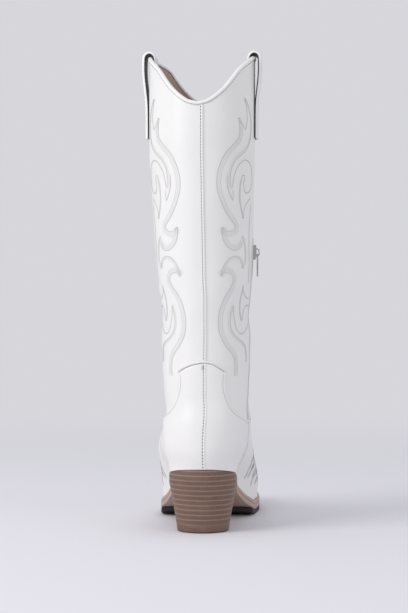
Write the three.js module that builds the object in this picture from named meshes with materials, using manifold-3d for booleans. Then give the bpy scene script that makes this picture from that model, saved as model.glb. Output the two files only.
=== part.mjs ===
// A knee-high western boot for the left foot, in millimetres, +Z up, toe towards +Y, inner side +X.
// The origin is the middle of the heel's ground face. The boot stands empty on its heel and forefoot.
import * as THREE from "three";
import { mergeVertices } from "three/addons/utils/BufferGeometryUtils.js";
import Module from "manifold-3d";

const wasm = await Module();
wasm.setup();

// Driving sizes of the last and the shaft
const heelHeight = 57;
const collarHeight = 419.5;
const backDip = 47;
const frontDip = 35;
const footLength = 262;
const ballHalfWidth = 46;
const shaftHalfWidth = 47.2;
const shaftDepth = 130;
const ankleHeight = 150;
const bendHeight = 175;
const toeSwing = 12;
const toeSpring = 8;
const sideBulgeHeight = 45;
const ankleBlendHeight = 55.5;
const roundPower = 2.1;

// Driving sizes of the leather pieces
const seatGap = 0.3;
const upperWall = 1.8;
const overlayThickness = 1.4;
const bindingThickness = 0.9;
const bindingDepth = 3.6;
const pipingThickness = 1.3;
const pipingWidth = 3.4;

// Driving sizes of the sole and heel
const weltThickness = 3.4;
const outsoleThickness = 4.6;
const treadThickness = 4.4;
const insoleThickness = 3;
const insoleInset = 1.2;
const weltEdge = 3.5;
const heelBaseLength = 44;
const heelBaseHalfWidth = 23;
const heelUndercut = 9.5;
const heelTopLength = 61;
const topliftThickness = 6;
const heelHollow = 1.15;
const treadStart = 0.505;
const treadChamfer = 1.8;

// Driving sizes of the pull straps
const strapWidth = 22;
const strapThickness = 1.6;
const strapRise = 6;
const strapDrop = 71.5;
const strapBulge = 4.3;
const strapSteps = 18;

// Driving sizes of the half zip
const zipTopHeight = 240;
const zipTapeWidth = 6.2;
const zipTapeThickness = 0.6;
const zipTeethWidth = 4.4;
const zipTeethThickness = 0.9;
const zipChannelDepth = 1.2;
const zipChannelWidth = 7;
const sliderLength = 13;
const sliderWidth = 6.6;
const sliderThickness = 3;
const sliderChamfer = 1;
const tabLength = 20;
const tabWidth = 6.5;
const tabThickness = 1.1;
const tabCorner = 1.5;
const tabEye = 5.6;
const zipStop = 4;

// Bridge of the slider, and the tab's pin that turns in it
const bridgeHalf = 3.4;
const bridgeRise = 2.8;
const bridgeWidth = 2;
const bridgeWall = 0.9;

// Lines on the leather
const earPeak = 151;
const earCorner = 143;
const earHalfWidth = 20;
const earWaist = 19.4;
const earFront = 12;
const shoulderHeight = 96;
const counterEdge = { outer: 40, inner: 31 };
const vampEdge = { outer: counterEdge.outer + 2 * seatGap, inner: 45 };
const seamLean = 6;
const tonguePeak = 172;
const tongueHalf = 7;
const vampShoulder = 12;
const zipPlace = 21;
const zipFoot = 38;
const zipBottom = 62;

// Places that follow from the sizes
const heelBack = -heelBaseLength / 2 - heelUndercut;
const forefootTop = treadThickness + outsoleThickness + weltThickness + 3 * seatGap;
const overlayLow = seatGap;
const overlayHigh = seatGap + overlayThickness;
const columnsPerSide = 24;
const columnCount = 2 * columnsPerSide;

// A smooth curve through [place, value] pairs that never overshoots them, level past both ends.
function curve(points) {
  const secants = points.slice(1).map(([at, value], i) => (value - points[i][1]) / (at - points[i][0]));
  const slopes = points.map((_, i) => {
    const before = secants[Math.max(i - 1, 0)];
    const after = secants[Math.min(i, secants.length - 1)];
    return before * after > 0 ? (2 * before * after) / (before + after) : 0;
  });
  return (at) => {
    if (at <= points[0][0]) return points[0][1];
    const i = points.findIndex(([place]) => place >= at) - 1;
    if (i < 0) return points[points.length - 1][1];
    const span = points[i + 1][0] - points[i][0];
    const t = (at - points[i][0]) / span;
    const bulge = span * t * (1 - t) * ((1 - t) * slopes[i] - t * slopes[i + 1]);
    const lift = t * t * (3 - 2 * t) * (points[i + 1][1] - points[i][1]);
    return points[i][1] + lift + bulge;
  };
}

const mix = (from, to, share) => from + (to - from) * share;
const smooth = (share) => {
  const s = Math.min(1, Math.max(0, share));
  return s * s * (3 - 2 * s);
};
const rounded = (share, power) => (1 - (1 - Math.min(1, Math.max(0, share))) ** power) ** (1 / power);

// Shaft seen from the side. Rise is a share from the heel height to the collar, back and front are
// shares of the shaft depth from the back of the heel.
const backRows = [
  { rise: 0, back: 0 },
  { rise: 0.049, back: -0.027 },
  { rise: 0.109, back: -0.023 },
  { rise: 0.172, back: 0 },
  { rise: 0.253, back: 0.004 },
  { rise: 0.39, back: -0.019 },
  { rise: 0.526, back: -0.05 },
  { rise: 0.662, back: -0.081 },
  { rise: 0.866, back: -0.112 },
  { rise: 1, back: -0.115 },
];

// Shaft seen from behind. Half is a share of the shaft's half width, lean a share of it towards the
// inner side, and reach is how far the rounded back runs forward, as a share of half the depth.
const shaftRows = [
  { rise: 0, half: 0.78, lean: 0.015, reach: 0.46 },
  { rise: 0.1, half: 0.775, lean: 0.045, reach: 0.6 },
  { rise: 0.13, half: 0.745, lean: 0.05, reach: 0.64 },
  { rise: 0.177, half: 0.78, lean: 0.036, reach: 0.7 },
  { rise: 0.251, half: 0.815, lean: 0.032, reach: 0.77 },
  { rise: 0.31, half: 0.83, lean: 0.03, reach: 0.79 },
  { rise: 0.355, half: 0.812, lean: 0.026, reach: 0.8 },
  { rise: 0.405, half: 0.83, lean: 0.026, reach: 0.82 },
  { rise: 0.455, half: 0.885, lean: 0.006, reach: 0.86 },
  { rise: 0.505, half: 0.915, lean: 0, reach: 0.9 },
  { rise: 0.61, half: 0.95, lean: -0.016, reach: 0.95 },
  { rise: 0.71, half: 0.98, lean: -0.03, reach: 0.98 },
  { rise: 0.76, half: 1, lean: -0.036, reach: 1 },
  { rise: 1, half: 1, lean: -0.038, reach: 1 },
];

// The foot from above. Along is a share of the foot length; sole and body half widths and the
// centre line's swing are shares of the ball's half width and of the toe swing. Bulge is a share of
// the height over which the side swells from the sole's width to the body's.
const footRows = [
  { along: 0, swing: 0, soleOuter: 0.55, soleInner: 0.55, bodyOuter: 0.66, bodyInner: 0.66, bulge: 0.6 },
  { along: 0.1, swing: 0, soleOuter: 0.6, soleInner: 0.6, bodyOuter: 0.71, bodyInner: 0.7, bulge: 0.6 },
  { along: 0.227, swing: 0, soleOuter: 0.61, soleInner: 0.585, bodyOuter: 0.84, bodyInner: 0.79, bulge: 0.7 },
  { along: 0.31, swing: 0, soleOuter: 0.64, soleInner: 0.565, bodyOuter: 0.94, bodyInner: 0.82, bulge: 0.88 },
  { along: 0.406, swing: 0.04, soleOuter: 0.77, soleInner: 0.65, bodyOuter: 1.01, bodyInner: 0.83, bulge: 1 },
  { along: 0.5, swing: 0.12, soleOuter: 0.94, soleInner: 0.76, bodyOuter: 1.02, bodyInner: 0.825, bulge: 1 },
  { along: 0.597, swing: 0.21, soleOuter: 1.02, soleInner: 0.8, bodyOuter: 1.05, bodyInner: 0.82, bulge: 1 },
  {
    along: 0.674, swing: 0.33, soleOuter: 0.985, soleInner: 0.81,
    bodyOuter: 0.99, bodyInner: 0.82, bulge: 1,
  },
  {
    along: 0.769, swing: 0.54, soleOuter: 0.82, soleInner: 0.735,
    bodyOuter: 0.82, bodyInner: 0.735, bulge: 1,
  },
  { along: 0.864, swing: 0.75, soleOuter: 0.59, soleInner: 0.57, bodyOuter: 0.59, bodyInner: 0.57, bulge: 1 },
  { along: 0.941, swing: 0.92, soleOuter: 0.38, soleInner: 0.37, bodyOuter: 0.38, bodyInner: 0.37, bulge: 1 },
  { along: 1, swing: 1.04, soleOuter: 0.2, soleInner: 0.2, bodyOuter: 0.2, bodyInner: 0.2, bulge: 1 },
];

// The line where the upper meets the sole. Drop is a share of the fall from heel seat to forefoot,
// spring a share of the toe spring, edge a share of the welt's edge that stands out past the upper.
const soleRows = [
  { along: 0, drop: 1, spring: 0, edge: 0.57 },
  { along: 0.1, drop: 0.886, spring: 0, edge: 0.57 },
  { along: 0.227, drop: 0.725, spring: 0, edge: 0.6 },
  { along: 0.31, drop: 0.53, spring: 0, edge: 0.7 },
  { along: 0.37, drop: 0.382, spring: 0, edge: 0.78 },
  { along: 0.43, drop: 0.233, spring: 0, edge: 0.87 },
  { along: 0.5, drop: 0.105, spring: 0, edge: 0.96 },
  { along: 0.55, drop: 0.03, spring: 0, edge: 1 },
  { along: 0.585, drop: 0, spring: 0, edge: 1 },
  { along: 0.7, drop: 0, spring: 0, edge: 1 },
  { along: 0.77, drop: 0, spring: 0.12, edge: 1 },
  { along: 0.86, drop: 0, spring: 0.45, edge: 1 },
  { along: 0.94, drop: 0, spring: 0.76, edge: 1 },
  { along: 1, drop: 0, spring: 1, edge: 1 },
];

// The ridge from the toe tip up the instep to the bend. Height is a share of the bend height and
// reach is how deep the rounded top runs into the boot, as a share of half the shaft depth.
const ridgeRows = [
  { along: 1, height: 0.12, reach: 0.18 },
  { along: 1, height: 0.155, reach: 0.2 },
  { along: 0.987, height: 0.2, reach: 0.26 },
  { along: 0.945, height: 0.24, reach: 0.36 },
  { along: 0.845, height: 0.31, reach: 0.53 },
  { along: 0.73, height: 0.4, reach: 0.68 },
  { along: 0.617, height: 0.537, reach: 0.76 },
  { along: 0.502, height: 0.68, reach: 0.78 },
  { along: 0.433, height: 0.8, reach: 0.78 },
  { along: 0.395, height: 0.914, reach: 0.77 },
  { along: 0.3817, height: 1, reach: 0.77 },
];

// The shaft's front above the bend. Rise runs from the bend to the collar.
const frontRows = [
  { rise: 0.1, front: 0.773, reach: 0.78 },
  { rise: 0.3, front: 0.819, reach: 0.86 },
  { rise: 0.5, front: 0.858, reach: 0.94 },
  { rise: 0.8, front: 0.888, reach: 1 },
  { rise: 1, front: 0.896, reach: 1 },
];

// The scalloped collar: from the dip at a seam (0) to the tip at the side (1), as a share of the dip.
const collarRows = [
  { fromSeam: 0, back: 0, front: 0 },
  { fromSeam: 0.1, back: 0.045, front: 0.09 },
  { fromSeam: 0.2, back: 0.15, front: 0.25 },
  { fromSeam: 0.3, back: 0.29, front: 0.44 },
  { fromSeam: 0.4, back: 0.465, front: 0.67 },
  { fromSeam: 0.5, back: 0.64, front: 0.88 },
  { fromSeam: 0.6, back: 0.76, front: 0.955 },
  { fromSeam: 0.75, back: 0.89, front: 1 },
  { fromSeam: 0.9, back: 0.985, front: 1 },
  { fromSeam: 1, back: 1, front: 1 },
];

const column = (rows, place, value, scale = 1) =>
  curve(rows.map((row) => [row[place], row[value] * scale]));
const backScallop = column(collarRows, "fromSeam", "back");
const frontScallop = column(collarRows, "fromSeam", "front");
const backShare = column(backRows, "rise", "back", shaftDepth);
const shaftHalf = column(shaftRows, "rise", "half", shaftHalfWidth);
const shaftLean = column(shaftRows, "rise", "lean", shaftHalfWidth);
const backReach = column(shaftRows, "rise", "reach", shaftDepth / 2);
const soleDrop = column(soleRows, "along", "drop", heelHeight - forefootTop);
const soleRise = column(soleRows, "along", "spring", toeSpring);
const soleEdge = column(soleRows, "along", "edge", weltEdge);
const bulgeHeight = column(footRows, "along", "bulge", sideBulgeHeight);
const footSwing = column(footRows, "along", "swing", toeSwing);
const footHalf = {
  outer: {
    sole: column(footRows, "along", "soleOuter", ballHalfWidth),
    body: column(footRows, "along", "bodyOuter", ballHalfWidth),
  },
  inner: {
    sole: column(footRows, "along", "soleInner", ballHalfWidth),
    body: column(footRows, "along", "bodyInner", ballHalfWidth),
  },
};

const riseAt = (z) => (z - heelHeight) / (collarHeight - heelHeight);
const alongAt = (y) => (y - heelBack) / footLength;
const backAt = (z) => heelBack + backShare(riseAt(z));
const soleLine = (y) => forefootTop + soleDrop(alongAt(y)) + soleRise(alongAt(y));

// The front line from the toe tip to the collar as closely spaced points [y, z, reach].
const ridgePoints = [
  ...ridgeRows.map((row) => [heelBack + row.along * footLength, row.height * bendHeight, row.reach]),
  ...frontRows.map((row) => [
    heelBack + row.front * shaftDepth,
    mix(bendHeight, collarHeight, row.rise),
    row.reach,
  ]),
];
const ridgeCurve = new THREE.CatmullRomCurve3(
  ridgePoints.map(([y, z, reach]) => new THREE.Vector3(y, z, (reach * shaftDepth) / 2)),
  false,
  "centripetal",
);
const ridge = ridgeCurve.getSpacedPoints(240);
const bendIndex = ridge.findIndex((point) => point.y >= bendHeight);
const frontAt = curve(ridge.slice(bendIndex).map((point) => [point.y, point.x]));

// The boot's skin is x = centre + side * half width, over the side view's y and z.
const ankleBlend = (z) => smooth((z - heelHeight) / ankleBlendHeight);
function centreAt(y, z) {
  return mix(footSwing(alongAt(y)), shaftLean(riseAt(z)), ankleBlend(z));
}
function ridgeShare(y, z) {
  let best = Infinity;
  let share = 0;
  for (const point of ridge) {
    const away = Math.hypot(point.x - y, point.y - z);
    if (away < best) {
      best = away;
      share = away / point.z;
    }
  }
  return share;
}
function halfWidthAt(side, y, z) {
  const foot = side < 0 ? footHalf.outer : footHalf.inner;
  const along = alongAt(y);
  const footWidth = mix(foot.sole(along), foot.body(along), smooth((z - soleLine(y)) / bulgeHeight(along)));
  const width = mix(footWidth, shaftHalf(riseAt(z)), ankleBlend(z));
  const roundBack = rounded((y - backAt(z)) / backReach(riseAt(z)), roundPower);
  return width * roundBack * rounded(ridgeShare(y, z), roundPower);
}

// Side-view places of the grid. Across runs 0 to 1 from the back line to the front line.
const acrossAt = (columnIndex) => (1 - Math.cos((Math.PI * columnIndex) / columnsPerSide)) / 2;
const footLevels = [0, 0.025, 0.06, 0.11, 0.17, 0.25, 0.34, 0.44, 0.54, 0.65, 0.76, 0.88, 1];
const shaftLevels = 14;
function ridgePlace(share) {
  const spot = share * bendIndex;
  const i = Math.min(Math.floor(spot), ridge.length - 2);
  return [mix(ridge[i].x, ridge[i + 1].x, spot - i), mix(ridge[i].y, ridge[i + 1].y, spot - i)];
}
function anklePlace(across) {
  const z = mix(ankleHeight, ridge[bendIndex].y, across);
  return [mix(backAt(z), frontAt(z), across), z];
}
function solePlace(across) {
  const y = heelBack + across * footLength;
  return [y, soleLine(y)];
}
function footPlace(across, level) {
  const low = solePlace(across);
  const high = anklePlace(across);
  const backZ = mix(heelHeight, ankleHeight, level);
  const back = [backAt(backZ), backZ];
  const front = ridgePlace(level);
  const corners = [solePlace(0), solePlace(1), anklePlace(0), anklePlace(1)];
  return [0, 1].map(
    (axis) =>
      mix(low[axis], high[axis], level) +
      mix(back[axis], front[axis], across) -
      mix(
        mix(corners[0][axis], corners[1][axis], across),
        mix(corners[2][axis], corners[3][axis], across),
        level,
      ),
  );
}
function shaftPlace(columnIndex, share) {
  const across = acrossAt(columnIndex);
  const half = columnsPerSide / 2;
  const fromSeam = 1 - Math.abs(columnIndex - half) / half;
  const drop =
    columnIndex < half
      ? backDip * (1 - backScallop(fromSeam))
      : frontDip * (1 - frontScallop(fromSeam));
  const top = collarHeight - drop;
  const z = mix(anklePlace(across)[1], top, share);
  return [mix(backAt(z), frontAt(z), across), z];
}

// Columns run from the back seam along the outer side to the front and back along the inner side.
function skinPoint(columnIndex, place) {
  const folded = columnIndex <= columnsPerSide ? columnIndex : columnCount - columnIndex;
  const side = columnIndex <= columnsPerSide ? -1 : 1;
  const [y, z] = place(folded);
  const onSeam = folded === 0 || folded === columnsPerSide;
  const half = onSeam ? 0 : halfWidthAt(side, y, z);
  return new THREE.Vector3(centreAt(y, z) + side * half, y, z);
}
const levelPlaces = [
  ...footLevels.map((level) => (folded) => footPlace(acrossAt(folded), level)),
  ...Array.from({ length: shaftLevels }, (_, i) => (folded) => shaftPlace(folded, (i + 1) / shaftLevels)),
];
const columns = Array.from({ length: columnCount }, (_, i) => i);
const skin = levelPlaces.map((place) => columns.map((i) => skinPoint(i, place)));
const topRow = skin.length - 1;

// Outward direction of the skin at each grid point, level along the sole so that edges sit flat.
const outward = skin.map((row, level) =>
  row.map((_, i) => {
    const around = new THREE.Vector3().subVectors(
      row[(i + 1) % columnCount],
      row[(i + columnCount - 1) % columnCount],
    );
    const up = new THREE.Vector3().subVectors(
      skin[Math.min(level + 1, topRow)][i],
      skin[Math.max(level - 1, 0)][i],
    );
    const normal = around.cross(up).normalize();
    if (level === 0) normal.setZ(0).normalize();
    return normal.negate();
  }),
);
const pushed = (level, i, offset) => skin[level][i].clone().addScaledVector(outward[level][i], offset);

function geometryFrom(points, faces) {
  const geometry = new THREE.BufferGeometry();
  geometry.setAttribute(
    "position",
    new THREE.Float32BufferAttribute(points.flatMap((point) => [point.x, point.y, point.z]), 3),
  );
  geometry.setIndex(faces.flat());
  return geometry;
}
// A closed surface from rings of equal length. Either the last ring joins the first, or both ends
// are capped by strips across the ring, from one side to the other. From the ring "turned" on, the
// diagonals lean the other way, so that the two faces of a wall have matching facets.
function ringsSurface(rings, closed, turned = Infinity) {
  const count = rings[0].length;
  const faces = [];
  const last = closed ? rings.length : rings.length - 1;
  for (let row = 0; row < last; row += 1) {
    const next = (row + 1) % rings.length;
    for (let i = 0; i < count; i += 1) {
      const right = (i + 1) % count;
      const [a, b, c, d] = [row * count + i, row * count + right, next * count + right, next * count + i];
      if (row < turned) faces.push([a, d, b], [b, d, c]);
      else faces.push([a, d, c], [a, c, b]);
    }
  }
  if (!closed) {
    const top = (rings.length - 1) * count;
    for (let left = 0, right = count; right - left >= 2; left += 1, right -= 1) {
      const end = right % count;
      if (end !== left) faces.push([left, left + 1, end], [top + left, top + end, top + left + 1]);
      if (right - 1 > left + 1) {
        faces.push([left + 1, right - 1, end], [top + left + 1, top + end, top + right - 1]);
      }
    }
  }
  return geometryFrom(rings.flat(), faces);
}

// A layer of the boot's wall between two offsets from the skin, open at the collar and underneath.
function wallLayer(low, high, innerRows) {
  const outside = levelPlaces.map((_, level) => columns.map((i) => pushed(level, i, high)));
  const inside = innerRows.map((level) => columns.map((i) => pushed(level, i, low))).reverse();
  return ringsSurface([...outside, ...inside], true, outside.length);
}
const everyRow = levelPlaces.map((_, level) => level);
const sparseRows = everyRow.filter((level) => level < footLevels.length || (topRow - level) % 2 === 0);

// Solids for joining and cutting
function solid(geometry) {
  const bare = geometry.clone();
  for (const name of Object.keys(bare.attributes)) {
    if (name !== "position") bare.deleteAttribute(name);
  }
  const merged = mergeVertices(bare, 1e-4);
  return new wasm.Manifold(
    new wasm.Mesh({
      numProp: 3,
      vertProperties: new Float32Array(merged.attributes.position.array),
      triVerts: new Uint32Array(merged.index.array),
    }),
  );
}
function geometryOf(manifold) {
  const mesh = manifold.getMesh();
  const geometry = new THREE.BufferGeometry();
  geometry.setAttribute("position", new THREE.Float32BufferAttribute(mesh.vertProperties, 3));
  geometry.setIndex(Array.from(mesh.triVerts));
  return geometry;
}
const farOut = 200;
function sideCutter(points, from, to) {
  const shape = new THREE.Shape(points.map(([y, z]) => new THREE.Vector2(y, z)));
  const geometry = new THREE.ExtrudeGeometry(shape, { depth: to - from, bevelEnabled: false });
  const axes = new THREE.Matrix4().makeBasis(
    new THREE.Vector3(0, 1, 0),
    new THREE.Vector3(0, 0, 1),
    new THREE.Vector3(1, 0, 0),
  );
  return solid(geometry.applyMatrix4(axes).translate(from, 0, 0));
}
function rearCutter(points, from, to) {
  const shape = new THREE.Shape(points.map(([x, z]) => new THREE.Vector2(x, z)));
  const geometry = new THREE.ExtrudeGeometry(shape, { depth: to - from, bevelEnabled: false });
  return solid(geometry.rotateX(Math.PI / 2).translate(0, to, 0));
}
function smoothLine(points, steps) {
  const line = new THREE.SplineCurve(points.map(([a, b]) => new THREE.Vector2(a, b)));
  return line.getPoints(steps).map((point) => [point.x, point.y]);
}

const white = new THREE.MeshStandardMaterial({ color: 0xf0efee, roughness: 0.45, metalness: 0 });
const lining = new THREE.MeshStandardMaterial({ color: 0x9c8a80, roughness: 0.8, metalness: 0 });
const soleLeather = new THREE.MeshStandardMaterial({ color: 0xa98c78, roughness: 0.6, metalness: 0 });
const heelLeather = new THREE.MeshStandardMaterial({ color: 0x7d6455, roughness: 0.55, metalness: 0 });
const blackRubber = new THREE.MeshStandardMaterial({ color: 0x1c1b1b, roughness: 0.8, metalness: 0 });
const gunmetal = new THREE.MeshStandardMaterial({ color: 0x8a8a8c, roughness: 0.3, metalness: 1 });
const whiteTape = new THREE.MeshStandardMaterial({ color: 0xe4e2e0, roughness: 0.85, metalness: 0 });

const boot = new THREE.Group();
function addPiece(name, geometry, material) {
  const mesh = new THREE.Mesh(geometry, material);
  mesh.name = name;
  boot.add(mesh);
  return mesh;
}

// The half zip's line on the inner side, in the side view, from above the slider down to the sole
const zipTop = zipTopHeight + sliderLength + zipStop;
const zipLine = smoothLine(
  [
    [zipPlace, zipTop + zipStop],
    [zipPlace, zipTopHeight],
    [zipPlace + 1, 0.8 * zipTopHeight],
    [mix(zipPlace, zipFoot, 0.25), ankleHeight],
    [mix(zipPlace, zipFoot, 0.62), mix(shoulderHeight, ankleHeight, 0.4)],
    [mix(zipPlace, zipFoot, 0.9), shoulderHeight],
    [zipFoot, zipBottom],
  ],
  24,
);
function zipBand(width, top, bottomTrim = 0) {
  const low = zipLine.filter(([, z]) => z < top - zipStop && z >= zipBottom + bottomTrim);
  const edge = [[zipPlace, top], ...low];
  const shifted = (sign) => edge.map(([y, z]) => [y + (sign * width) / 2, z]);
  return sideCutter([...shifted(-1), ...shifted(1).reverse()], 0, farOut);
}
const wallBetween = (low, high) => solid(wallLayer(low, high, everyRow));

// Upper: shaft and foot in one wall, with a channel for the zip that leaves an inner flap behind it
const channel = wallBetween(-zipChannelDepth, seatGap).intersect(zipBand(zipChannelWidth, zipTop));
const upperWallSolid = solid(wallLayer(-upperWall, 0, sparseRows));
addPiece("upper", geometryOf(upperWallSolid.subtract(channel)), white);

// Zip: a tape at the bottom of the channel and the closed teeth on it, up to the slider
const tapeLow = seatGap - zipChannelDepth;
const tapeHigh = tapeLow + zipTapeThickness;
const zipTape = wallBetween(tapeLow, tapeHigh).intersect(
  zipBand(zipTapeWidth, zipTop - seatGap, 2 * seatGap),
);
addPiece("zip_tape", geometryOf(zipTape), whiteTape);
const teethLow = tapeHigh + seatGap;
const zipTeeth = wallBetween(teethLow, teethLow + zipTeethThickness).intersect(
  zipBand(zipTeethWidth, zipTopHeight - seatGap, 2 * seatGap),
);
addPiece("zip_teeth", geometryOf(zipTeeth), gunmetal);

// A layer just above the upper that the overlays, pipings and zip are cut from
const overlay = wallBetween(overlayLow, overlayHigh);
const piping = wallBetween(overlayLow, seatGap + pipingThickness);

// Heel counter: an ear up the back seam, shoulders that fall to the sides, a front edge at the waist
const earPoints = [0, 0.25, 0.5, 0.75, 1].map((share) => [
  -share * earHalfWidth,
  mix(earPeak, earCorner, share ** 2),
]);
const shoulderPoints = smoothLine(
  [
    [-earHalfWidth, earCorner],
    [-earWaist, mix(shoulderHeight, earCorner, 0.65)],
    [-1.25 * earHalfWidth, mix(shoulderHeight, earCorner, 0.3)],
    [-1.7 * earHalfWidth, mix(shoulderHeight, earCorner, 0.1)],
    [-2.6 * earHalfWidth, shoulderHeight],
  ],
  14,
);
const counterHalf = [...earPoints, ...shoulderPoints.slice(1), [-farOut, shoulderHeight], [-farOut, 0]];
const counterRear = [...counterHalf, ...counterHalf.slice(1).reverse().map(([x, z]) => [-x, z])];
function sideSeam(place) {
  return smoothLine(
    [
      [place - seamLean, 0],
      [place - 0.67 * seamLean, 0.75 * heelHeight],
      [place - 0.17 * seamLean, 0.5 * (heelHeight + shoulderHeight)],
      [place, shoulderHeight],
    ],
    8,
  );
}
function counterSide(place) {
  const top = ankleHeight + 0.5 * footLength;
  const edge = sideSeam(place);
  return [[-farOut, 0], ...edge, [earFront, 1.02 * shoulderHeight], [earFront, top], [-farOut, top]];
}
const counter = overlay
  .intersect(rearCutter(counterRear, -farOut, farOut))
  .intersect(
    sideCutter(counterSide(counterEdge.outer), -farOut, 0).add(
      sideCutter(counterSide(counterEdge.inner), 0, farOut),
    ),
  );
addPiece("heel_counter", geometryOf(counter), white);

// Vamp: from the side seams over the toe, with a tongue that peaks at the front of the ankle
function vampSide(place) {
  const tongueFront = frontAt(tonguePeak);
  const top = smoothLine(
    [
      [place, shoulderHeight],
      [place + vampShoulder, mix(shoulderHeight, tonguePeak, 0.04)],
      [mix(place, tongueFront, 0.62), mix(shoulderHeight, tonguePeak, 0.34)],
      [tongueFront - tongueHalf, mix(shoulderHeight, tonguePeak, 0.86)],
      [tongueFront + overlayHigh, tonguePeak],
    ],
    12,
  );
  return [...sideSeam(place), ...top.slice(1), [farOut, tonguePeak], [2 * farOut, 0]];
}
const vamp = overlay.intersect(
  sideCutter(vampSide(vampEdge.outer), -farOut, 0).add(sideCutter(vampSide(vampEdge.inner), 0, farOut)),
);
addPiece("vamp", geometryOf(vamp), white);

// Collar binding: a folded strip over the scalloped edge
const collarRow = skin[topRow];
const bindingOut = 1.5 * seatGap;
const bindingIn = -upperWall - 2 * seatGap;
const bindingProfile = [
  [bindingOut, -bindingDepth],
  [bindingOut + bindingThickness, -bindingDepth],
  [bindingOut + bindingThickness, seatGap],
  [-upperWall / 2, bindingThickness + 2 * seatGap],
  [bindingIn - bindingThickness, seatGap],
  [bindingIn - bindingThickness, -bindingDepth],
  [bindingIn, -bindingDepth],
  [bindingIn, 0.5 * seatGap],
  [bindingOut, 0.5 * seatGap],
].reverse();
const bindingRings = columns.map((i) => {
  const along = new THREE.Vector3()
    .subVectors(collarRow[(i + 1) % columnCount], collarRow[(i + columnCount - 1) % columnCount])
    .normalize();
  const away = outward[topRow][i];
  const up = new THREE.Vector3().crossVectors(away, along).normalize();
  if (up.z < 0) up.negate();
  return bindingProfile.map(([out, rise]) =>
    collarRow[i].clone().addScaledVector(away, out).addScaledVector(up, rise),
  );
});
addPiece("collar_binding", ringsSurface(bindingRings, true), white);

// Pipings that cover the back seam above the ear and the front seam above the tongue
function seamBand(low, high) {
  return [
    [shaftLean(riseAt(low)) - pipingWidth / 2, low],
    [shaftLean(riseAt(low)) + pipingWidth / 2, low],
    [shaftLean(riseAt(high)) + pipingWidth / 2, high],
    [shaftLean(riseAt(high)) - pipingWidth / 2, high],
  ];
}
const belowBinding = bindingDepth + 2 * seatGap;
const middleOfShaft = heelBack + shaftDepth / 2;
const aboveEar = earPeak + overlayThickness;
const backPiping = piping.intersect(
  rearCutter(seamBand(aboveEar, collarHeight - backDip - belowBinding), -farOut, middleOfShaft),
);
addPiece("back_seam_piping", geometryOf(backPiping), white);
const frontPiping = piping.intersect(
  rearCutter(
    seamBand(tonguePeak + overlayThickness, collarHeight - frontDip - belowBinding),
    middleOfShaft,
    farOut,
  ),
);
addPiece("front_seam_piping", geometryOf(frontPiping), white);

// Blocks of the slider, drawn in its own frame: out from the leather, along the shaft, up the zip
const bridgeOut = sliderThickness;
const bridgeFloor = bridgeOut + 0.1;
function outlineBlock(points, width) {
  const shape = new THREE.Shape(points.map(([out, up]) => new THREE.Vector2(out, up)));
  const geometry = new THREE.ExtrudeGeometry(shape, { depth: width, bevelEnabled: false });
  return geometry.rotateX(Math.PI / 2).translate(0, width / 2, 0);
}
function chamferedBlock(fromOut, toOut, halfUp, chamfer, width) {
  const points = [
    [fromOut, -halfUp],
    [toOut - chamfer, -halfUp],
    [toOut, chamfer - halfUp],
    [toOut, halfUp - chamfer],
    [toOut - chamfer, halfUp],
    [fromOut, halfUp],
  ];
  return solid(outlineBlock(points, width));
}
const sliderBody = chamferedBlock(0, bridgeOut, sliderLength / 2, sliderChamfer, sliderWidth);
const bridge = chamferedBlock(bridgeOut / 2, bridgeOut + bridgeRise, bridgeHalf, bridgeWall, bridgeWidth);
const bridgeHole = solid(
  outlineBlock(
    [
      [bridgeFloor, bridgeWall - bridgeHalf],
      [bridgeOut + bridgeRise - bridgeWall, bridgeWall - bridgeHalf],
      [bridgeOut + bridgeRise - bridgeWall, bridgeHalf - bridgeWall],
      [bridgeFloor, bridgeHalf - bridgeWall],
    ],
    2 * bridgeWidth,
  ),
);
const skinX = (z) => centreAt(zipPlace, z) + halfWidthAt(1, zipPlace, z);
const sliderMiddle = zipTopHeight + sliderLength / 2;
const sliderSpot = new THREE.Group();
sliderSpot.position.set(skinX(sliderMiddle) + seatGap, zipPlace, sliderMiddle);
sliderSpot.rotation.y = Math.atan2(skinX(zipTopHeight + sliderLength) - skinX(zipTopHeight), sliderLength);
boot.add(sliderSpot);
const slider = addPiece("zip_slider", geometryOf(sliderBody.add(bridge.subtract(bridgeHole))), gunmetal);
sliderSpot.add(slider);

// Pull tab: a plate with a long eye whose pin turns in the bridge, hanging straight down
const pinHalf = tabThickness / 2;
const pinUp = bridgeWall - bridgeHalf + pinHalf + seatGap;
const pinOut = bridgeFloor + pinHalf + seatGap;
const eyeHalf = bridgeWidth / 2 + 2 * seatGap;
const tabOutline = new THREE.Shape([
  new THREE.Vector2(-tabWidth / 2, pinHalf),
  new THREE.Vector2(-tabWidth / 2, tabCorner - tabLength),
  new THREE.Vector2(tabCorner - tabWidth / 2, -tabLength),
  new THREE.Vector2(tabWidth / 2 - tabCorner, -tabLength),
  new THREE.Vector2(tabWidth / 2, tabCorner - tabLength),
  new THREE.Vector2(tabWidth / 2, pinHalf),
]);
tabOutline.holes.push(
  new THREE.Path([
    new THREE.Vector2(-eyeHalf, -pinHalf),
    new THREE.Vector2(-eyeHalf, -tabEye),
    new THREE.Vector2(eyeHalf, -tabEye),
    new THREE.Vector2(eyeHalf, -pinHalf),
  ]),
);
const tabGeometry = new THREE.ExtrudeGeometry(tabOutline, { depth: 2 * pinHalf, bevelEnabled: false })
  .translate(0, 0, -pinHalf)
  .rotateX(Math.PI / 2)
  .rotateZ(Math.PI / 2);
sliderSpot.updateMatrixWorld(true);
const tab = addPiece("zip_pull_tab", tabGeometry, gunmetal);
tab.position.copy(sliderSpot.localToWorld(new THREE.Vector3(pinOut, 0, pinUp)));

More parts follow.
